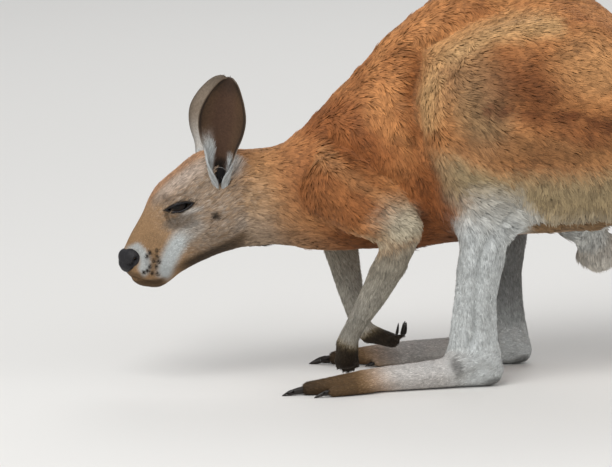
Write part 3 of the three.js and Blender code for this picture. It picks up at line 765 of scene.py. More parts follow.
def press(points, normals, side_view, fold, where):
    """Points near a line of the side view sink along their normals, and the rims beside it rise."""
    line, width, depth, rim = fold
    distance, place = line_distance(side_view, line)
    ends = np.minimum(ease(-0.02, 0.15, place), 1 - ease(0.85, 1.02, place))
    sunk = bell(distance, width) * depth
    risen = bell(distance - 2 * width, width) * rim
    return points + normals * ((risen - sunk) * ends * where)[:, None]


def fold_body(points, normals):
    outward = ease(0.15, 0.5, outward_facing(points, normals))
    for folds, place in ((LEG_FOLDS, leg_place), (BODY_FOLDS, body_place)):
        side_view = np.stack(place(points), 1)
        for fold in folds:
            points = press(points, normals, side_view, fold, outward)
    return points


# on the face: centre along and up, half sizes, tilt, and how far the skin stands out there
FACE_FORMS = (
    ((0.112, 0.043), (0.026, 0.009), -16, 0.0030),  # brow
    ((0.160, 0.030), (0.022, 0.018), -10, -0.0035),  # temple hollow
    ((0.128, -0.002), (0.030, 0.009), -12, 0.0018),  # cheek bone
    ((0.080, 0.010), (0.020, 0.016), 0, -0.0022),  # beside the bridge of the nose
    ((0.034, -0.030), (0.018, 0.016), -20, 0.0022),  # whisker pad
    ((0.148, -0.040), (0.030, 0.026), -20, 0.0020),  # jaw muscle
    ((0.062, -0.034), (0.016, 0.014), 0, -0.0015),  # behind the whisker pad
)
LID_THICKNESS = 0.0022


def fold_face(points, normals):
    """The forms of the face, the lids round the eyes, the tear line and the mouth."""
    along, up, _ = in_head(points)
    outward = ease(0.15, 0.6, np.abs(normals[:, 1]))
    under_pad = oval(along, up, (0.0105, -0.0115), (0.0165, 0.0150), 10, 0.3)
    points = points - normals * (0.0035 * under_pad)[:, None]
    chin = oval(along, up, (0.016, -0.064), (0.030, 0.020), -25, 0.8)
    points = points - np.array(HEAD_UP) * (0.0055 * chin)[:, None]
    for centre, half, tilt, lift in FACE_FORMS:
        points = points + normals * (oval(along, up, centre, half, tilt, 0.9) * outward * lift)[:, None]
    side_view = np.stack([along, up], 1)
    on_muzzle = (along < 0.1) & (up < 0.04)
    points = press(points, normals, side_view, (MOUTH, 0.0024, 0.0036, 0.0009), on_muzzle)
    points = press(points, normals, side_view, (TEAR_LINE, 0.0030, 0.0018, 0.0004), outward)
    points = press(points, normals, side_view, (LID_FOLD, 0.0030, 0.0024, 0.0006), outward)
    for side in SIDES.values():
        along, up, out = in_head(points)
        near = (out * side > 0) & (np.hypot(along - EYE["along"], up - EYE["up"]) < 0.035)
        centre = np.array(head_point(EYE["along"], EYE["up"], side * EYE_OUT))
        reach = points - centre
        distance = np.linalg.norm(reach, axis=1)
        opening = eye_outline(along, up)
        lid = EYE["radius"] + LID_THICKNESS
        lifted = np.where(near & (opening >= 1) & (distance < lid), lid, distance)
        sunk = np.where(near & (opening < 1), EYE["radius"] * 0.96, lifted)
        points = centre + unit(reach) * sunk[:, None]
    return points


# ------------------------------------------------------------------ the skin

# depth of the coat, length and width of a lock in metres, locks on a square centimetre, and form
COAT = {
    "head": (0.0028, 0.0110, 0.00130, 60, "spike"),
    "neck": (0.0034, 0.0175, 0.0024, 20, "lock"),
    "trunk": (0.0038, 0.0190, 0.0025, 19.6, "lock"),
    "thigh": (0.0038, 0.0190, 0.0025, 20, "lock"),
    "tail": (0.0034, 0.0160, 0.0027, 14, "lock"),
    "scrotum": (0.0032, 0.0130, 0.0014, 26, "lock"),
    "upper_arm": (0.0030, 0.0150, 0.0023, 22, "lock"),
    "shank": (0.0015, 0.0075, 0.0009, 40, "spike"),
    "foot": (0.0013, 0.0055, 0.0009, 34, "spike"),
    "forearm": (0.0017, 0.0080, 0.0010, 38, "spike"),
    "hand": (0.0012, 0.0045, 0.0009, 36, "spike"),
    "ear": (0.0009, 0.0070, 0.0008, 45, "spike"),
}

# the way the coat lies in each region; on forearms and hands it follows their length
LIE = {
    "head": tuple(HEAD_ALONG),
    "neck": (0.9, 0, -0.30),
    "trunk": (0.45, 0, -0.75),
    "upper_arm": (0.80, 0, -0.50),
    "scrotum": (0.1, 0, -1),
    "thigh": (0.90, 0, -0.35),
    "shank": (0.05, 0, -1),
    "foot": (-1, 0, -0.1),
    "tail_root": (0.78, 0, -0.62),
    "tail_middle": (1, 0, -0.05),
    "tail_tip": (1, 0, 0),
}
ARM_RUN = {"forearm": ("upper_arm", "hand"), "hand": ("forearm", "hand")}
HANGING = (0.1, 0, -1)  # at the ham's lower edge, and where thigh and arm face forward
STANDING = (0.15, 0, 1)  # round the ears
LEVEL = (1, 0, 0.25)  # on top of the body and beneath it

SUNK_SHARE = 0.85  # the skin lies this share of the coat's depth below the solids
LOWEST_SKIN = 0.0002  # above the ground
FLESH_GROWTH = 0.00075  # the solids are grown this much before they become one skin
GROIN = {"centre": (0.414, 0, 0.228), "half": (0.036, 0.020, 0.024)}  # the fold before the scrotum
NEAR_EYE = 0.032  # the skin is cut finer within this distance
# how much of the body's smoothing each region takes, where it isn't all of it
SMOOTHING = {"head": 0.55, "hand": 0.07, "foot": 0.22, "shank": 0.45, "forearm": 0.35, "scrotum": 0.4}


def lie_of(node):
    """The direction in which the coat of one node lies."""
    region = node.removesuffix("_left").removesuffix("_right")
    if region in LIE:
        return LIE[region]
    side = "left" if node.endswith("left") else "right"
    start, end = (middle_of(f"{part}_{side}") for part in ARM_RUN[region])
    return tuple(end - start)


def nearest_nodes(points, nodes):
    """The number of the nearest of some nodes at each point."""
    corners, faces, owner = [], [], []
    for number, node in enumerate(nodes):
        mesh = frame["nodes"][node].data
        mesh.calc_loop_triangles()
        start = len(corners)
        corners += [vert.co.copy() for vert in mesh.vertices]
        faces += [[start + i for i in tri.vertices] for tri in mesh.loop_triangles]
        owner += [number] * len(mesh.loop_triangles)
    tree = BVHTree.FromPolygons(corners, faces)
    return np.array([owner[tree.find_nearest(point)[2]] for point in points.tolist()])


def with_modifier(mesh, kind, **settings):
    """A copy of a mesh as one modifier leaves it. A group lists the points that it works on."""
    carrier = linked_object(mesh.name, mesh)
    group = settings.pop("group", None)
    if group is not None:
        carrier.vertex_groups.new(name="Group").add(group, 1.0, "REPLACE")
        settings["vertex_group"] = "Group"
    modifier = carrier.modifiers.new("Step", kind)
    for name, value in settings.items():
        setattr(modifier, name, value)
    return as_mesh(carrier)


def refine(mesh, chosen, name):
    """Cuts the chosen points' faces in four, and the points stay where they are."""
    shape = bmesh.new()
    shape.from_mesh(mesh)
    edges = [e for e in shape.edges if chosen[e.verts[0].index] and chosen[e.verts[1].index]]
    bmesh.ops.subdivide_edges(shape, edges=edges, cuts=1, use_grid_fill=True)
    return mesh_of(shape, name)


def even_flesh(step):
    """One even skin round all the flesh, the nose and the eyes."""
    shape = merged_copy(FLESH + ["nose", "eye_left", "eye_right"], grow=FLESH_GROWTH)
    place = Matrix.LocRotScale(body_point(*GROIN["centre"]), None, Vector(GROIN["half"]))
    bmesh.ops.create_icosphere(shape, subdivisions=3, radius=1, matrix=place)
    return with_modifier(mesh_of(shape, "flesh"), "REMESH", mode="VOXEL", voxel_size=step)


def thinned(even, limit):
    """The even skin with fewer faces on the body, and the head and limbs left fine."""
    x, z = body_place(points_of(even))
    along = in_head(points_of(even))[0]
    fine = (along < 0.215) | ((z < 0.19) & (x < 0.42))
    share = limit / (2 * len(even.polygons))
    return with_modifier(even, "DECIMATE", ratio=share, group=np.flatnonzero(~fine).tolist())


def smoothed(points, net, parts, passes):
    share = sum(parts[name] * SMOOTHING.get(name, 1.0) for name in REGIONS)
    for _ in range(passes):
        around = np.stack([net.sum_around(column) / net.degree for column in points.T], 1)
        points = points + 0.5 * share[:, None] * (around - points)
    return points


def heights_over(outline, points):
    """How far each point lies outside an outline."""
    height = np.zeros(len(points))
    for i, point in enumerate(points.tolist()):
        place, facing, _, _ = outline.find_nearest(point)
        height[i] = (Vector(point) - place).dot(facing)
    return height


def lie_of_coat(points, normals, parts, own_lie):
    """The way the coat lies at each point, flat on the skin."""
    x, z = leg_place(points)
    hang = parts["thigh"] * (1 - ease(0.28, 0.40, z)) * ease(0.24, 0.34, x) * ease(0.260, 0.274, z)
    lie = blend(own_lie, HANGING, hang)
    lie = blend(lie, STANDING, ear_base(points))
    level = (parts["trunk"] + parts["neck"]) * ease(0.25, 0.70, np.abs(normals[:, 2]))
    lie = blend(lie, LEVEL, level)
    front = (parts["thigh"] + parts["upper_arm"]) * ease(0.25, 0.75, -normals[:, 0])
    lie = blend(lie, HANGING, front)
    return unit(lie - normals * (lie * normals).sum(1)[:, None])


def make_skin(sizes, material):
    even = even_flesh(sizes.skin_step)
    mesh = thinned(even, sizes.skin_triangles)
    along, up, out = in_head(points_of(mesh))
    by_eye = (np.hypot(along - EYE["along"], up - EYE["up"]) < NEAR_EYE) & (np.abs(out) > OFF_MIDDLE)
    mesh = refine(mesh, by_eye, "skin")
    net = Net(mesh)
    owner = nearest_nodes(points_of(mesh), FLESH)
    region_of = np.array([next(r for r, nodes in enumerate(REGIONS.values()) if n in nodes) for n in FLESH])
    parts = {name: net.smooth((region_of[owner] == r) * 1.0, 14) for r, name in enumerate(REGIONS)}

    points = smoothed(points_of(mesh), net, parts, sizes.smoothing)
    move_points(mesh, points)
    share = coat_share(points, parts)
    coat = {
        key: net.smooth(sum(parts[name] * COAT[name][column] for name in REGIONS) * share, 50)
        for column, key in enumerate(("depth", "length", "width"))
    }
    height = net.smooth(heights_over(surface_of(even), points), 40)
    points = points - normals_of(mesh) * (height + coat["depth"] * SUNK_SHARE)[:, None]
    for fold in (fold_body, fold_face):
        move_points(mesh, points)
        points = fold(points, normals_of(mesh))
    points[:, 2] = np.maximum(points[:, 2], LOWEST_SKIN)
    move_points(mesh, points)

    normals = normals_of(mesh)
    own_lie = net.smooth(unit(np.array([lie_of(node) for node in FLESH]))[owner], 40)
    carried = {"lie": lie_of_coat(points, normals, parts, own_lie), **coat}
    carried.update({f"part_{name}": values for name, values in parts.items()})
    carried.update(markings(points, normals, parts))
    for name, values in carried.items():
        write_attribute(mesh, name, values)
    skin = add_piece("skin", mesh, material, "coat_rufous")
    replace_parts(skin, *FLESH)
    return skin


# ------------------------------------------------------------------ finishes


def coat_colour(finish, colours):
    """The colour of the coat from its markings, the same on the skin and on the locks."""
    wide = finish.noise(16, 3).step(0.35, 0.70)
    tone = finish.mix(wide * 0.55, tuple(colours.rufous), tuple(colours.rust))
    for mask in MASKS:
        tone = finish.mix(finish.attribute(mask).clamped(), tone, tuple(getattr(colours, mask)))
    return tone


def skin_finish(colours):
    finish = Finish("skin")
    fine = finish.noise(520, 3)
    # painted shade: the skin is the coat's colour at 0.45 to 0.95 of its brightness, with a grain, darker
    # than the locks above it
    finish.surface(finish.shaded(coat_colour(finish, colours), fine * 0.5 + 0.45), 0.85, 0.15)
    finish.bump(fine, 0.6, 0.002)
    return finish.material


def locks_finish(name, colours, contrast=1.0):
    """Locks are darker at the root than at the tip, partly their own colour and partly painted shade deep
    in the coat, and no two are quite alike.
    """
    finish = Finish(name)
    # darker towards the root: partly painted shade between the locks
    along = finish.attribute("tip") * 0.40 + 0.70
    among = finish.attribute("tone") * contrast + (0.92 - contrast / 2)
    finish.surface(finish.shaded(coat_colour(finish, colours), along * among), 0.65, 0.2)
    finish.set("Sheen Weight", 0.1)
    finish.set("Sheen Tint", (1.0, 0.8, 0.6))
    return finish.material


def ear_finish(colours):
    finish = Finish("ear")
    fine = finish.noise(300, 4)
    finish.surface(finish.shaded(coat_colour(finish, colours), fine * 0.6 + 0.4), 0.75, 0.25)
    finish.bump(fine, 0.5, 0.001)
    return finish.material


def eye_finish(colours):
    """A wet dark eye: a black pupil in a brown iris that darkens towards its rim."""
    finish = Finish("eye")
    facing = finish.attribute("facing")
    iris = finish.shaded(tuple(colours.iris), facing.step(0.70, 0.90) * 0.8 + 0.2)
    finish.surface(finish.mix(facing.step(0.945, 0.955), iris, tuple(colours.eye)), 0.3, 0.0)
    finish.set("Coat Weight", 1.0)
    finish.set("Coat Roughness", 0.03)
    finish.set("Coat IOR", 1.25)
    return finish.material


def bare_finish(name, tone, roughness, scale, bump):
    """Bare skin or horn: one dark tone with a grain."""
    finish = Finish(name)
    grain = finish.noise(scale, 4)
    finish.surface(finish.shaded(tuple(tone), grain * 0.8 + 0.6), roughness, 0.35)
    finish.bump(grain, bump, 0.001)
    return finish.material


# ------------------------------------------------------------------ eyes, nose and claws


LOOKING = (-0.30, 0.10)  # how far the eyes look forward and up, for 1 to the side
EYE_ROOM = 0.0006  # between the eyeball and the lid's rim
SKIN_ROOM = 0.0003
FAR_OUT = 0.12  # beside the head, where lines towards it start
LID_POINTS = 72
LID_RIM = {"least": 0.0008, "over": 0.0009, "under": 0.0003}  # its radius, and what lids add to it


def make_eyes(colours):
    finish = eye_finish(colours)
    for name, side in SIDES.items():
        centre = middle_of(f"eye_{name}")
        shape = bmesh.new()
        bmesh.ops.create_icosphere(shape, subdivisions=5, radius=EYE["radius"])
        bmesh.ops.translate(shape, verts=shape.verts, vec=centre)
        mesh = mesh_of(shape, f"eyeball_{name}")
        axis = np.array(Vector((LOOKING[0], side, LOOKING[1])).normalized())
        write_attribute(mesh, "facing", unit(points_of(mesh) - np.array(centre)) @ axis)
        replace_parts(add_piece(f"eyeball_{name}", mesh, finish, "eye"), f"eye_{name}")


def rim_place(angle):
    """Along, up and thickness of the lid's rim at an angle round the opening."""
    side = math.sin(angle)
    lid = "over" if side > 0 else "under"
    length = EYE_OPENING["half"] * math.cos(angle)
    height = side * abs(side) * EYE_OPENING[lid]
    turn = math.radians(EYE_OPENING["slant"])
    along = EYE["along"] + length * math.cos(turn) - height * math.sin(turn)
    up = EYE["up"] + length * math.sin(turn) + height * math.cos(turn)
    return along, up, LID_RIM["least"] + abs(side) * LID_RIM[lid]


def on_face(surface, side, along, up):
    """Where a level line from one side meets the face."""
    return surface.ray_cast(head_point(along, up, side * FAR_OUT), Vector((0, -side, 0)))[0]


def rim_point(surface, side, along, up):
    """The place of the lid's rim over the eyeball, or over the skin beside it."""
    reach = math.hypot(along - EYE["along"], up - EYE["up"])
    ball = math.sqrt(max(EYE["radius"] ** 2 - reach**2, 0)) + EYE_OUT + EYE_ROOM
    hit = on_face(surface, side, along, up)
    skin = abs(hit.y - NOSE_TIP.y) + SKIN_ROOM if hit else 0
    return head_point(along, up, side * max(ball if reach < EYE["radius"] else 0, skin))


def make_lids(skin, colours):
    """The dark wet rim of both eyes' lids."""
    finish = bare_finish("lid", colours.nose, 0.35, 700, 0.3)
    surface = surface_of(skin.data)
    for name, side in SIDES.items():
        curve = bpy.data.curves.new(f"lid_{name}", "CURVE")
        curve.dimensions = "3D"
        curve.bevel_depth = 1
        curve.bevel_resolution = 3
        line = curve.splines.new("POLY")
        line.points.add(LID_POINTS - 1)  # a new line has one point
        line.use_cyclic_u = True
        for i, point in enumerate(line.points):
            along, up, thickness = rim_place(math.tau * i / LID_POINTS)
            point.co = (*rim_point(surface, side, along, up), 1)
            point.radius = thickness
        mesh = as_mesh(linked_object(curve.name, curve))
        add_piece(f"lid_rim_{name}", mesh, finish, "nose_skin")


# centre along, up and out, and the radius, of the lobes that make up the nose
NOSE_LOBES = (
    (0.0095, -0.005, 0.0, 0.0135), (0.0165, -0.0085, 0.0085, 0.0148), (0.0045, -0.0155, 0.0035, 0.0125),
)
# along, up and out on both sides of the nose
NOSTRIL = [(0.000, -0.010, 0.008), (0.009, -0.016, 0.016), (0.020, -0.012, 0.022)]
PHILTRUM = [(-0.004, -0.006, 0.0), (-0.009, -0.018, 0.0), (-0.006, -0.032, 0.0)]


def make_nose(colours):
    shape = bmesh.new()
    for along, up, out, radius in NOSE_LOBES:
        for side in SIDES.values():
            place = Matrix.Translation(head_point(along, up, side * out))
            bmesh.ops.create_icosphere(shape, subdivisions=4, radius=radius, matrix=place)
    mesh = with_modifier(mesh_of(shape, "nose_pad"), "REMESH", mode="VOXEL", voxel_size=0.0010)
    net = Net(mesh)
    points = net.smooth(points_of(mesh), 40)
    move_points(mesh, points)
    along, up, out = in_head(points)
    half = np.stack([along, up, np.abs(out)], 1)
    from_nostril, from_parting = (line_distance(half, line)[0] for line in (NOSTRIL, PHILTRUM))
    slit = bell(from_nostril, 0.0026) * 0.0075
    rim = bell(from_nostril - 0.0055, 0.0025) * 0.0012
    parting = bell(from_parting, 0.0014) * 0.0016
    move_points(mesh, points + normals_of(mesh) * (rim - slit - parting)[:, None])
    finish = bare_finish("nose", colours.nose, 0.5, 900, 0.7)
    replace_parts(add_piece("nose_pad", mesh, finish, "nose_skin"), "nose")


def make_claws(colours):
    finish = bare_finish("horn", colours.claw, 0.4, 200, 0.3)
    claws = sorted(node for node in frame["nodes"] if node.startswith("claw_"))
    shape = merged_copy(claws, grow=0.0004)
    piece = add_piece("claws", mesh_of(shape, "claws"), finish, "horn")
    smoothing = piece.modifiers.new("Round", "SUBSURF")
    smoothing.levels = smoothing.render_levels = 2
    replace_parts(piece, *claws)


# ------------------------------------------------------------------ ears

EAR_HALF_WIDTHS = [12, 13, 16, 20.5, 25.5, 31.3, 35.2, 36.5, 34, 30, 27]  # millimetres, root to tip
EAR_PLACES = {
    "left": (body_point(-0.131, -0.019, 0.305), body_point(-0.123, -0.062, 0.477)),
    "right": (body_point(-0.136, 0.021, 0.304), body_point(-0.112, 0.100, 0.456)),
}
EAR_THICKNESS = 0.0022
EAR_BOW = (-0.013, 0.012)  # how far an ear's middle bends forward, and out
EAR_FACING = (-0.2, 0.05)  # how far its opening turns forward and up, for 1 to the side
EAR_END = 0.996  # the leaf stops this close to its tip
# share of the ear's length, lift from the leaf and radius of the balls that fill its foot
EAR_PLUG = (
    (0.00, 0.012500, 0.0108),
    (0.04, 0.011524, 0.0108),
    (0.08, 0.010356, 0.0104),
    (0.12, 0.008996, 0.0092),
    (0.16, 0.007444, 0.0070),
)


def curve_through(values, share):
    """A smooth curve through evenly spaced values."""
    last = len(values) - 1
    i = min(int(share * last), last - 1)
    t = share * last - i
    a, b, c, d = (values[min(max(i + k, 0), last)] for k in (-1, 0, 1, 2))
    return b + 0.5 * t * (c - a + t * (2 * a - 5 * b + 4 * c - d + t * (3 * (b - c) + d - a)))


def ear_point(name, share, across, lift=0.0):
    """A point of the ear's leaf, with across from -1 to 1 and lift towards its opening."""
    side = SIDES[name]
    root, tip = EAR_PLACES[name]
    bow = root.lerp(tip, 0.5) + Vector((EAR_BOW[0], side * EAR_BOW[1], 0))
    centre = root * (1 - share) ** 2 + bow * 2 * share * (1 - share) + tip * share**2
    up = ((bow - root) * (1 - share) + (tip - bow) * share).normalized()
    facing = Vector((EAR_FACING[0], side, EAR_FACING[1]))
    opening = (facing - up * facing.dot(up)).normalized()
    width = curve_through(EAR_HALF_WIDTHS, share) / 1000 * math.sqrt(1 - share**6)
    roll = 1.2 + 1.75 * (1 - float(ease(0.08, 0.40, share)))  # half the leaf's curl, nearly a tube low down
    radius = width / math.sin(min(roll, math.pi / 2))
    angle = across * roll
    sideways = up.cross(opening)
    ripple = 0.0006 * math.sin(9 * share + 3 * across) * across**2
    forward = radius - (radius - lift) * math.cos(angle) + ripple
    return centre + opening * forward + sideways * ((radius - lift) * math.sin(angle))


def ear_tuft(share, across):
    """1 where white hairs grow inside the ear: low along its front edge, and lowest behind."""
    front = ease(0.20, 0.50, across) * (1 - ease(0.30, 0.60, share))
    return np.maximum(front, ease(0.15, 0.45, -across) * (1 - ease(0.20, 0.36, share)))


def ear_marks(share, across, inside):
    """The ear: brown inside with dark rims and a black hollow of painted shade at its foot, grey outside,
    white hairs low.
    """
    edge = np.abs(across)
    rims = ease(0.78, 0.97, np.maximum(edge, share))
    # painted shade: the inside darkens to black low in its middle, deep in the hollow
    hollow = (1 - ease(0.20, 0.42, share)) * (1 - ease(0.25, 0.60, edge))
    low = 1 - ease(0.30, 0.65, share)
    tuft = ear_tuft(share, across)
    base = 1 - ease(0.12, 0.24, share)
    lip = ease(0.45, 0.70, edge) * (1 - ease(0.28, 0.42, share))
    outside = 1 - inside
    brown = np.maximum(0.66 + 0.12 * ease(0.3, 0.8, edge) + 0.2 * rims, hollow) * (1 - tuft)
    return {
        "tan": inside * 0.3 + outside * 0.9,
        "rust": inside * 0.9 * (1 - ease(0.2, 0.8, edge)),
        "grey": (inside * 0.30 + outside * (0.85 - 0.3 * low)) * (1 - np.maximum(base, lip)),
        "pale": inside * tuft + outside * np.maximum(0.7 * low + 0.2 * base, 0.95 * lip),
        "dark": inside * brown + outside * (0.20 * (1 - low) + 0.30 * rims),
    }


def ear_leaf(name):
    """The leaf of one ear, with its places, its fur's sizes and its markings as attributes."""
    shape = bmesh.new()
    bmesh.ops.create_grid(shape, x_segments=30, y_segments=54, size=1)
    places = [(vert.co.x, (vert.co.y + 1) / 2 * EAR_END) for vert in shape.verts]
    spots = KDTree(len(places))
    for i, (vert, (across, share)) in enumerate(zip(shape.verts, places)):
        vert.co = ear_point(name, share, across, -EAR_THICKNESS / 2)
        spots.insert(vert.co, i)
    spots.balance()
    bmesh.ops.remove_doubles(shape, verts=shape.verts, dist=2e-4)
    bmesh.ops.recalc_face_normals(shape, faces=shape.faces)
    bmesh.ops.solidify(shape, geom=shape.faces[:], thickness=EAR_THICKNESS)
    sort_faces(shape)
    mesh = mesh_of(shape, f"ear_leaf_{name}")

    own = [places[spots.find(point)[1]] for point in points_of(mesh).tolist()]
    across, share = np.array(own).T
    inner = np.array([ear_point(name, s, a, EAR_THICKNESS) for a, s in own])
    inside = (np.linalg.norm(points_of(mesh) - inner, axis=1) < EAR_THICKNESS) * 1.0
    run = np.array([ear_point(name, min(s + 0.05, 0.99), a) - ear_point(name, s - 0.01, a) for a, s in own])
    across = across * SIDES[name]
    low = np.maximum(inside * ear_tuft(share, across), 0.8 * (1 - ease(0.10, 0.34, share)))
    rims = 1 - 0.5 * ease(0.8, 1, np.maximum(np.abs(across), share))
    carried = {"lie": unit(run), "share": share, "across": across, "inside": inside}
    for key, size, longer in zip(("depth", "length", "width"), COAT["ear"], (3.0, 1.6, 0.5)):
        carried[key] = size * (1 + longer * low) * rims
    carried.update(ear_marks(share, across, inside))
    for key, values in carried.items():
        write_attribute(mesh, key, values)
    return mesh


def ear_plug(name):
    """The dark lump that fills the tube at the foot of one ear: a near-black piece of painted shade."""
    shape = bmesh.new()
    for share, lift, radius in EAR_PLUG:
        place = Matrix.Translation(ear_point(name, share, 0, lift))
        bmesh.ops.create_icosphere(shape, subdivisions=3, radius=radius, matrix=place)
    mesh = with_modifier(mesh_of(shape, f"ear_hollow_{name}"), "REMESH", mode="VOXEL", voxel_size=0.0012)
    move_points(mesh, Net(mesh).smooth(points_of(mesh), 30))
    return mesh


def make_ears(colours):
    # the plugs' near-black finish is painted shade deep in the ears' tubes
    finish, hollow = ear_finish(colours), bare_finish("ear_hollow", colours.eye, 0.95, 900, 0.3)
    for name in SIDES:
        ear = add_piece(f"ear_leaf_{name}", ear_leaf(name), finish, "ear_skin")
        unwrap_piece(ear)
        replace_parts(ear, f"ear_{name}")
        add_piece(f"ear_hollow_{name}", ear_plug(name), hollow, "nose_skin")


# ------------------------------------------------------------------ the coat


class Roots:
    """Places on a mesh where locks grow, with all that the mesh carries there."""

    def __init__(self, mesh, density, rng):
        mesh.calc_loop_triangles()
        corners = read_rows(mesh.loop_triangles, "vertices", 3, np.int64)
        loops = read_rows(mesh.loop_triangles, "loops", 3, np.int64)
        points = points_of(mesh)
        a, b, c = (points[corners[:, i]] for i in range(3))
        weight = np.linalg.norm(np.cross(b - a, c - a), axis=1) / 2 * density[corners].mean(1)
        self.count = int(weight.sum())
        reach = np.cumsum(weight)
        picks = (np.arange(self.count) + rng.random(self.count)) / self.count * reach[-1]
        tri = np.minimum(np.searchsorted(reach, picks), len(corners) - 1)
        u, v = rng.random((2, self.count))
        flip = u + v > 1
        u, v = np.where(flip, 1 - u, u), np.where(flip, 1 - v, v)
        self.mesh = mesh
        self.corners = corners[tri]
        self.shares = np.stack([1 - u - v, u, v], 1)
        self.points = self.carried(points)
        self.normals = unit(self.carried(normals_of(mesh)))
        unwrap = read_rows(mesh.uv_layers["Unwrap"].data, "uv", 2)
        self.patches = np.einsum("nk,nkc->nc", self.shares, unwrap[loops[tri]])

    def carried(self, values):
        """Values of the mesh's points at the roots."""
        return np.einsum("nk,nk...->n...", self.shares, values[self.corners])

    def read(self, name):
        return self.carried(read_attribute(self.mesh, name))


# a lock's points as (place on its path, corner of its ring or -1 for its middle), its faces, and
# the offsets of its points in the OFBake map
LOCK = {
    "points": ((0, -1), (1, 0), (1, 1), (1, 2), (2, -1)),
    "faces": ((0, 2, 1), (0, 3, 2), (0, 1, 3), (1, 2, 4), (2, 3, 4), (3, 1, 4)),
    "patch": ((0, -1), (-1, 0), (1, 0), (0, 0.35), (0, 1)),
}
SPIKE = {
    "points": ((0, 0), (0, 1), (0, 2), (1, -1)),
    "faces": ((2, 1, 0), (0, 1, 3), (1, 2, 3), (2, 0, 3)),
    "patch": ((-1, -1), (1, -1), (0, -0.3), (0, 1)),
}
PATCH_SIZE = 0.0015  # half the width of a lock's place in the map


def lock_mesh(name, form, paths, sides, tops, halves, tones, masks, patches):
    """Many locks in one mesh: thin closed solids, each along its own path."""
    count, steps = paths.shape[:2]
    size = len(form["points"])
    ring = np.stack([-sides, sides, tops, sides * 0], 1) * halves[:, None, None]
    points = np.stack([paths[:, step] + ring[:, corner] for step, corner in form["points"]], 1)
    corners = (np.arange(count)[:, None, None] * size + np.array(form["faces"])).reshape(-1)
    mesh = bpy.data.meshes.new(name)
    mesh.vertices.add(count * size)
    mesh.vertices.foreach_set("co", points.ravel())
    mesh.loops.add(len(corners))
    mesh.loops.foreach_set("vertex_index", corners)
    mesh.polygons.add(len(corners) // 3)
    mesh.polygons.foreach_set("loop_start", np.arange(0, len(corners), 3))
    mesh.update(calc_edges=True)
    tip = [step / (steps - 1) for step, _ in form["points"]]
    write_attribute(mesh, "tip", np.tile(tip, count))
    write_attribute(mesh, "tone", np.repeat(tones, size))
    for mask, values in masks.items():
        write_attribute(mesh, mask, np.repeat(values, size))
    spread = (patches[:, None, :] + np.array(form["patch"]) * PATCH_SIZE).reshape(-1, 2)
    mesh.uv_layers.new(name="OFBake").data.foreach_set("uv", spread[corners].ravel())
    return mesh


def coat_share(points, parts):
    """How long the coat is at each point, as a share of its region's length."""
    x, z = body_place(points)
    along = in_head(points)[0]
    fringe = parts["thigh"] * 0.35 * oval(x, z, (0.40, 0.29), (0.09, 0.04), -5)
    elbow = parts["upper_arm"] * 0.45 * oval(x, z, (0.140, 0.262), (0.045, 0.045), 0, 0.6)
    strip = 0.4 * parts["thigh"] * ease(0.30, 0.33, x) * (1 - ease(0.254, 0.266, z))
    body = 0.85 + 0.3 * (1 - ease(0.33, 0.50, z)) + fringe - elbow - strip
    face = 0.40 + 0.60 * ease(0.03, 0.19, along) + 0.7 * ear_base(points)
    return parts["head"] * face + (1 - parts["head"]) * body


def ear_base(points):
    """1 round the foot of each ear."""
    along, up, out = in_head(points)
    return oval(along, up, (0.211, 0.045), (0.017, 0.023), 0, 0.6) * ease(0.018, 0.032, np.abs(out))


def ear_axis(name):
    """The middle line of the tube at the foot of an ear."""
    rooms = ((0, 0.012), (0.1, 0.013), (0.2, 0.016))
    return [tuple(ear_point(name, share, 0, room)) for share, room in rooms]


def ear_hollow(points):
    """1 on the head's skin inside the tube at the foot of each ear."""
    left, right = (line_distance(points, ear_axis(name))[0] for name in SIDES)
    return 1 - ease(0.0128, 0.0142, np.minimum(left, right))


def bare_share(points):
    """1 where no hair grows: on the eyes, on the nose and inside the ears."""
    along, up, out = in_head(points)
    eye = (1 - ease(1.25, 1.45, eye_outline(along, up))) * (np.abs(out) > OFF_MIDDLE)
    nose = oval(along, up, (0.008, -0.010), (0.0180, 0.0165), 10, 0.1)
    return np.max([eye, nose, ear_hollow(points)], axis=0)


LOCKS_IN_TUFT = 5
ROOT_SUNK = 0.0005  # a lock starts this far below the skin
LOWEST_LOCK = 0.0003  # above the ground
LOCK_HEIGHT = 0.45  # of half its width
LOCK_MIDDLE = {"along": 0.45, "rise": 0.68, "pull": 0.15}  # pull is towards the middle of its tuft
LOCK_END_PULL = 0.35
TONE_SHARES = {"tuft": 0.45, "lock": 0.30, "spike": 0.55}  # what is left is for broad patches


def turned_lie(roots, curl, rng):
    """The coat's lie with a broad wave, a fine curl and a little chance."""
    lie = unit(roots.read("lie"))
    chance = rng.normal(size=roots.count)
    turn = 0.35 * wave(roots.points, 22) + curl * wave(roots.points, 85) + 0.13 * chance
    return unit(lie * np.cos(turn)[:, None] + np.cross(roots.normals, lie) * np.sin(turn)[:, None])


def tufts_of(roots, rng):
    """The locks that lead tufts, and the number of each lock's tuft."""
    leads = rng.choice(roots.count, max(roots.count // LOCKS_IN_TUFT, 1), replace=False)
    tree = KDTree(len(leads))
    for i, root in enumerate(leads):
        tree.insert(roots.points[root], i)
    tree.balance()
    return leads, np.array([tree.find(point)[1] for point in roots.points.tolist()])


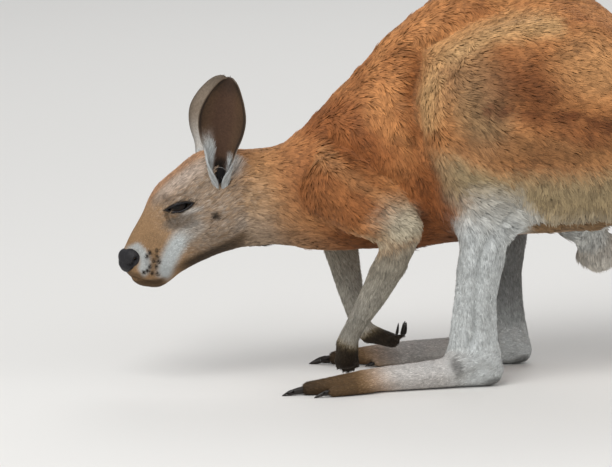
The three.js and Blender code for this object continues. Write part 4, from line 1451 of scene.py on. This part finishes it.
def grow(name, slot, form, roots, masks, curl, finish, rng):
    """One piece of the coat: locks that lie along the body, in small tufts whose tips meet."""
    depth, length, width = (roots.read(key) for key in ("depth", "length", "width"))
    normals, lie = roots.normals, turned_lie(roots, curl, rng)
    side = unit(np.cross(normals, lie))
    leads, tuft = tufts_of(roots, rng)
    lead = leads[tuft]
    size = rng.uniform(0.8, 1.2, len(leads))[tuft] * rng.uniform(0.75, 1.2, roots.count)
    reach = (length * size)[:, None]
    rise = (depth * rng.uniform(0.8, 1.15, roots.count))[:, None]
    start = roots.points - normals * ROOT_SUNK
    middle = start + lie * reach * LOCK_MIDDLE["along"] + normals * rise * LOCK_MIDDLE["rise"]
    end = start + lie * reach + normals * rise * rng.uniform(0.5, 1.0, (roots.count, 1))
    end = end * (1 - LOCK_END_PULL) + end[lead] * LOCK_END_PULL
    middle = middle * (1 - LOCK_MIDDLE["pull"]) + middle[lead] * LOCK_MIDDLE["pull"]
    paths = np.stack([start, middle, end] if form is LOCK else [start, end], 1)
    paths[:, :, 2] = np.maximum(paths[:, :, 2], LOWEST_LOCK)
    halves = width / 2 * rng.uniform(0.8, 1.25, roots.count)
    patchy = 0.5 + 0.5 * wave(roots.points, 75)
    by_tuft, own = TONE_SHARES["tuft"], TONE_SHARES["lock" if form is LOCK else "spike"]
    tones = by_tuft * rng.random(len(leads))[tuft] + own * rng.random(roots.count)
    tones += (1 - by_tuft - own) * patchy
    mesh = lock_mesh(name, form, paths, side, normals * LOCK_HEIGHT, halves, tones, masks, roots.patches)
    facing = normals + lie * 0.15
    bent = [facing + side * across for across in (-0.45, 0.45, 0, 0)]
    shading = np.stack([bent[corner] for _, corner in form["points"]], 1)
    mesh.shade_smooth()
    mesh.normals_split_custom_set_from_vertices(unit(shading).reshape(-1, 3).tolist())
    add_piece(name, mesh, finish, slot)


# piece, region, side and slot
COAT_PIECES = (
    ("coat_trunk_left", "trunk", -1, "coat_rufous"),
    ("coat_trunk_right", "trunk", 1, "coat_rufous"),
    ("coat_thigh_left", "thigh", -1, "coat_rufous"),
    ("coat_thigh_right", "thigh", 1, "coat_rufous"),
    ("coat_neck", "neck", 0, "coat_rufous"),
    ("coat_tail", "tail", 0, "coat_tawny"),
    ("coat_head_left", "head", -1, "coat_face"),
    ("coat_head_right", "head", 1, "coat_face"),
    ("coat_scrotum", "scrotum", 0, "coat_pale"),
    ("coat_upper_arms", "upper_arm", 0, "coat_tawny"),
    ("coat_shanks", "shank", 0, "coat_pale"),
    ("coat_feet", "foot", 0, "coat_pale"),
    ("coat_forearms", "forearm", 0, "coat_pale"),
    ("coat_hands", "hand", 0, "paw_dark"),
)
SQUARE_METRE = 1e4  # in square centimetres
CURL = {"trunk": 0.42, "neck": 0.32, "thigh": 0.28, "upper_arm": 0.25, "tail": 0.25, "head": 0.15}


def make_coat(skin, sizes, colours):
    rng = np.random.default_rng(11)
    mesh = skin.data
    body, short = locks_finish("coat", colours), locks_finish("short_coat", colours, 1.25)
    points = points_of(mesh)
    parts = {name: read_attribute(mesh, f"part_{name}") for name in REGIONS}
    most = np.max(list(parts.values()), axis=0)
    haired = 1 - bare_share(points)
    for name, region, side, slot in COAT_PIECES:
        own = (parts[region] >= most - 1e-9) & ((points[:, 1] * side > 0) | (side == 0))
        roots = Roots(mesh, own * haired * COAT[region][3] * SQUARE_METRE * sizes.thickness, rng)
        at_roots = {part: roots.read(f"part_{part}") for part in REGIONS}
        masks = markings(roots.points, roots.normals, at_roots)
        form = LOCK if COAT[region][4] == "lock" else SPIKE
        grow(name, slot, form, roots, masks, CURL.get(region, 0.08), body if form is LOCK else short, rng)


def make_ear_fur(ears, sizes, colours):
    """Short fur outside the ears, thin inside, and long white hairs low in front."""
    rng = np.random.default_rng(12)
    finish = locks_finish("ear_fur", colours)
    for name, ear in ears.items():
        share, across, inside = (read_attribute(ear.data, key) for key in ("share", "across", "inside"))
        thick = np.where(inside > 0.5, 0.35 + 1.2 * ear_tuft(share, across), 1.0)
        roots = Roots(ear.data, thick * COAT["ear"][3] * SQUARE_METRE * sizes.thickness, rng)
        masks = ear_marks(roots.read("share"), roots.read("across"), roots.read("inside"))
        grow(f"ear_fur_{name}", "coat_face", SPIKE, roots, masks, 0.1, finish, rng)


HAIR_HALF, LASH_HALF = 0.00018, 0.00028  # half their widths
BROW_HAIRS, LASHES = 6, 34


def hair_lines(surface, side, rng):
    """Root, reach and half width of each whisker, brow hair and lash on one side."""
    for along, up in WHISKER_SPOTS:
        reach = HEAD_ALONG * rng.uniform(0.2, 0.7) - HEAD_UP * rng.uniform(0.2, 0.6)
        reach += Vector((0, side * 0.8, 0))
        yield on_face(surface, side, along, up), reach * rng.uniform(0.022, 0.036), HAIR_HALF
    for _ in range(BROW_HAIRS):
        along, up = 0.098 + 0.014 * rng.random(), 0.046 + 0.004 * rng.random()
        reach = HEAD_ALONG * 0.5 + HEAD_UP * rng.uniform(0.2, 0.5) + Vector((0, side * 0.7, 0))
        yield on_face(surface, side, along, up), reach * rng.uniform(0.016, 0.026), HAIR_HALF
    for i in range(LASHES):
        along, up, _ = rim_place(math.pi * (0.12 + 0.74 * i / (LASHES - 1)))
        root = rim_point(surface, side, along, up) + HEAD_UP * 0.0008
        fan = HEAD_ALONG * ((along - 0.105) * 18)
        reach = fan - HEAD_UP * rng.uniform(0.1, 0.35) + Vector((0, side, 0))
        yield root, reach * rng.uniform(0.005, 0.0075), LASH_HALF


def make_hairs(skin, colours):
    """Single long hairs: whiskers on the muzzle and brow, and lashes on the upper lids."""
    rng = np.random.default_rng(13)
    mesh = skin.data
    surface = surface_of(mesh)
    unwrap = mesh.uv_layers["Unwrap"].data
    hairs = [hair for side in SIDES.values() for hair in hair_lines(surface, side, rng)]
    paths = np.array([(root, root + reach) for root, reach, _ in hairs])
    halves = np.array([half for _, _, half in hairs])
    run = unit(paths[:, 1] - paths[:, 0])
    sides = unit(np.cross(run, np.array(HEAD_UP)))
    faces = [mesh.polygons[surface.find_nearest(root)[2]] for root, _, _ in hairs]
    patches = np.array([unwrap[face.loop_start].uv[:] for face in faces])
    masks = {name: np.full(len(hairs), 1.0 if name == "dark" else 0.0) for name in MASKS}
    tones = rng.random(len(hairs)) * 0.3
    shape = lock_mesh("hairs", SPIKE, paths, sides, np.cross(sides, run), halves, tones, masks, patches)
    add_piece("hairs", shape, locks_finish("hairs", colours), "coat_face", smooth=False)


# ------------------------------------------------------------------ stage

CAMERA = {"azimuth": -8, "elevation": 10, "distance": 8.0, "lens": 310.6, "sensor": 36, "clip": 100}
CAMERA_TARGET = body_point(0, 0, 0.2259)
LAMPS = (
    ("key", (-2.5, -3.0, 4.6), 3.5, 210),
    ("fill", (3.8, -2.6, 3.4), 3.0, 40),
    ("back", (1.0, 4.0, 4.0), 3.0, 60),
)  # name, place, size and watts; each faces the middle of the floor
DAYLIGHT = {"Color": (0.95, 0.97, 1.0, 1), "Strength": 0.52}
FLOOR_HALF = 30


def set_down(name, data, place, direction):
    """A lamp or the camera at its place, facing one way."""
    made = linked_object(name, data)
    made.location = place
    made.rotation_euler = direction.to_track_quat("-Z", "Y").to_euler()
    return made


def make_stage(colours):
    shape = bmesh.new()
    bmesh.ops.create_grid(shape, x_segments=1, y_segments=1, size=FLOOR_HALF)
    floor = linked_object("floor", mesh_of(shape, "floor"))
    finish = Finish("floor")
    finish.set("Base Color", tuple(colours.floor))
    finish.set("Roughness", 0.9)
    floor.data.materials.append(finish.material)
    floor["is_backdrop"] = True

    scene = bpy.context.scene
    scene.world = bpy.data.worlds.new("studio")
    scene.world.use_nodes = True
    for name, value in DAYLIGHT.items():
        scene.world.node_tree.nodes["Background"].inputs[name].default_value = value
    for name, place, size, watts in LAMPS:
        light = bpy.data.lights.new(name, "AREA")
        light.size = size
        light.energy = watts
        set_down(name, light, place, -Vector(place))

    camera = bpy.data.cameras.new("camera")
    camera.lens = CAMERA["lens"]
    camera.sensor_width = CAMERA["sensor"]
    camera.clip_end = CAMERA["clip"]
    azimuth, elevation = math.radians(CAMERA["azimuth"]), math.radians(CAMERA["elevation"])
    level = math.cos(elevation)
    away = Vector((math.sin(azimuth) * level, -math.cos(azimuth) * level, math.sin(elevation)))
    scene.camera = set_down("camera", camera, CAMERA_TARGET + away * CAMERA["distance"], -away)
    scene.view_settings.view_transform = "Standard"


# ------------------------------------------------------------------ the add-on


def colour_property(name, description, default):
    return bpy.props.FloatVectorProperty(
        name=name, description=description, default=default, size=3, min=0, max=1, subtype="COLOR"
    )


class KangarooSizes(bpy.types.PropertyGroup):
    """Sizes that shape the skin and its coat."""

    skin_step: bpy.props.FloatProperty(
        name="Skin step", description="Between the skin's finest points", default=0.0024, unit="LENGTH"
    )
    skin_triangles: bpy.props.IntProperty(
        name="Skin triangles", description="About how many triangles the skin has", default=180000, min=1000
    )
    smoothing: bpy.props.IntProperty(
        name="Smoothing", description="How often the body's skin is smoothed", default=90, min=0
    )
    thickness: bpy.props.FloatProperty(
        name="Thickness", description="Share of the full number of locks", default=1.0, subtype="FACTOR"
    )


class KangarooColours(bpy.types.PropertyGroup):
    """Colours of the coat, the bare skin and the stage. Where the markings lay them, rust, dark and grey
    also paint shade, and tan and rufous paint light.
    """

    rufous: colour_property("Rufous", "Most of the coat", colour(202, 138, 84))
    tan: colour_property("Tan", "Face, neck and thigh edge", colour(208, 164, 112))
    olive: colour_property("Olive", "Forearms and the lower thigh", colour(160, 146, 104))
    rust: colour_property("Rust", "Deeper patches of the coat", colour(136, 76, 36))
    grey: colour_property("Grey", "Temples and thigh patch", colour(142, 132, 120))
    pale: colour_property("Pale", "Shanks, feet and cheek stripe", colour(226, 231, 230))
    dark: colour_property("Dark", "Paws, toes and jaw", colour(46, 38, 31))
    nose: colour_property("Nose", "Bare skin of the nose and lids", colour(29, 27, 30))
    # eye also colours the near-black plugs in the ears' feet, which are painted shade
    eye: colour_property("Eye", "The pupil", colour(14, 11, 10))
    iris: colour_property("Iris", "The iris", colour(26, 17, 13))
    claw: colour_property("Claw", "Horn of the claws", colour(40, 34, 30))
    floor: colour_property("Floor", "The floor of the stage", colour(226, 224, 220))


class KANGAROO_OT_skin(bpy.types.Operator):
    """Wraps all the flesh in one smooth skin"""

    bl_idname = "kangaroo.skin"
    bl_label = "Skin"

    def execute(self, context):
        skin = make_skin(context.scene.kangaroo_sizes, skin_finish(context.scene.kangaroo_colours))
        unwrap_piece(skin)
        return {"FINISHED"}


class KANGAROO_OT_eyes(bpy.types.Operator):
    """Makes both eyes"""

    bl_idname = "kangaroo.eyes"
    bl_label = "Eyes"

    def execute(self, context):
        make_eyes(context.scene.kangaroo_colours)
        return {"FINISHED"}


class KANGAROO_OT_lids(bpy.types.Operator):
    """Makes the rims of the lids of both eyes"""

    bl_idname = "kangaroo.lids"
    bl_label = "Lids"

    def execute(self, context):
        make_lids(bpy.data.objects["skin"], context.scene.kangaroo_colours)
        return {"FINISHED"}


class KANGAROO_OT_nose(bpy.types.Operator):
    """Makes the bare nose pad"""

    bl_idname = "kangaroo.nose"
    bl_label = "Nose"

    def execute(self, context):
        make_nose(context.scene.kangaroo_colours)
        return {"FINISHED"}


class KANGAROO_OT_ears(bpy.types.Operator):
    """Makes both ears"""

    bl_idname = "kangaroo.ears"
    bl_label = "Ears"

    def execute(self, context):
        make_ears(context.scene.kangaroo_colours)
        return {"FINISHED"}


class KANGAROO_OT_claws(bpy.types.Operator):
    """Makes the claws of hands and feet"""

    bl_idname = "kangaroo.claws"
    bl_label = "Claws"

    def execute(self, context):
        make_claws(context.scene.kangaroo_colours)
        return {"FINISHED"}


class KANGAROO_OT_coat(bpy.types.Operator):
    """Grows the locks of the coat from the skin"""

    bl_idname = "kangaroo.coat"
    bl_label = "Coat"

    def execute(self, context):
        scene = context.scene
        make_coat(bpy.data.objects["skin"], scene.kangaroo_sizes, scene.kangaroo_colours)
        return {"FINISHED"}


class KANGAROO_OT_ear_fur(bpy.types.Operator):
    """Grows the fur of both ears"""

    bl_idname = "kangaroo.ear_fur"
    bl_label = "Ear fur"

    def execute(self, context):
        scene = context.scene
        ears = {name: bpy.data.objects[f"ear_leaf_{name}"] for name in SIDES}
        make_ear_fur(ears, scene.kangaroo_sizes, scene.kangaroo_colours)
        return {"FINISHED"}


class KANGAROO_OT_hairs(bpy.types.Operator):
    """Makes the whiskers and the lashes"""

    bl_idname = "kangaroo.hairs"
    bl_label = "Whiskers and lashes"

    def execute(self, context):
        make_hairs(bpy.data.objects["skin"], context.scene.kangaroo_colours)
        return {"FINISHED"}


class KANGAROO_OT_stage(bpy.types.Operator):
    """Makes the floor, the lamps and the camera"""

    bl_idname = "kangaroo.stage"
    bl_label = "Stage"

    def execute(self, context):
        make_stage(context.scene.kangaroo_colours)
        return {"FINISHED"}


OPERATORS = (
    KANGAROO_OT_stage,
    KANGAROO_OT_skin,
    KANGAROO_OT_eyes,
    KANGAROO_OT_lids,
    KANGAROO_OT_nose,
    KANGAROO_OT_ears,
    KANGAROO_OT_claws,
    KANGAROO_OT_coat,
    KANGAROO_OT_ear_fur,
    KANGAROO_OT_hairs,
)


class KANGAROO_PT_panel(bpy.types.Panel):
    """Lists the pieces of the kangaroo in the sidebar"""

    bl_idname = "KANGAROO_PT_panel"
    bl_label = "Kangaroo"
    bl_space_type = "VIEW_3D"
    bl_region_type = "UI"
    bl_category = "Kangaroo"

    def draw(self, context):
        for operator in OPERATORS:
            self.layout.operator(operator.bl_idname)
        for group in (context.scene.kangaroo_sizes, context.scene.kangaroo_colours):
            for name in group.__annotations__:
                self.layout.prop(group, name)


CLASSES = (KangarooSizes, KangarooColours, *OPERATORS, KANGAROO_PT_panel)


def register():
    for cls in CLASSES:
        bpy.utils.register_class(cls)
    bpy.types.Scene.kangaroo_sizes = bpy.props.PointerProperty(type=KangarooSizes)
    bpy.types.Scene.kangaroo_colours = bpy.props.PointerProperty(type=KangarooColours)


def unregister():
    del bpy.types.Scene.kangaroo_colours
    del bpy.types.Scene.kangaroo_sizes
    for cls in reversed(CLASSES):
        bpy.utils.unregister_class(cls)


def main():
    register()
    bpy.ops.kangaroo.stage()
    bpy.ops.kangaroo.skin()
    bpy.ops.kangaroo.eyes()
    bpy.ops.kangaroo.lids()
    bpy.ops.kangaroo.nose()
    bpy.ops.kangaroo.ears()
    bpy.ops.kangaroo.claws()
    bpy.ops.kangaroo.coat()
    bpy.ops.kangaroo.ear_fur()
    bpy.ops.kangaroo.hairs()
    boxes = {"cad": CAD_BOX, "visual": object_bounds()}
    {name: [list(corner) for corner in box] for name, box in boxes.items()}


if __name__ == "__main__":
    main()
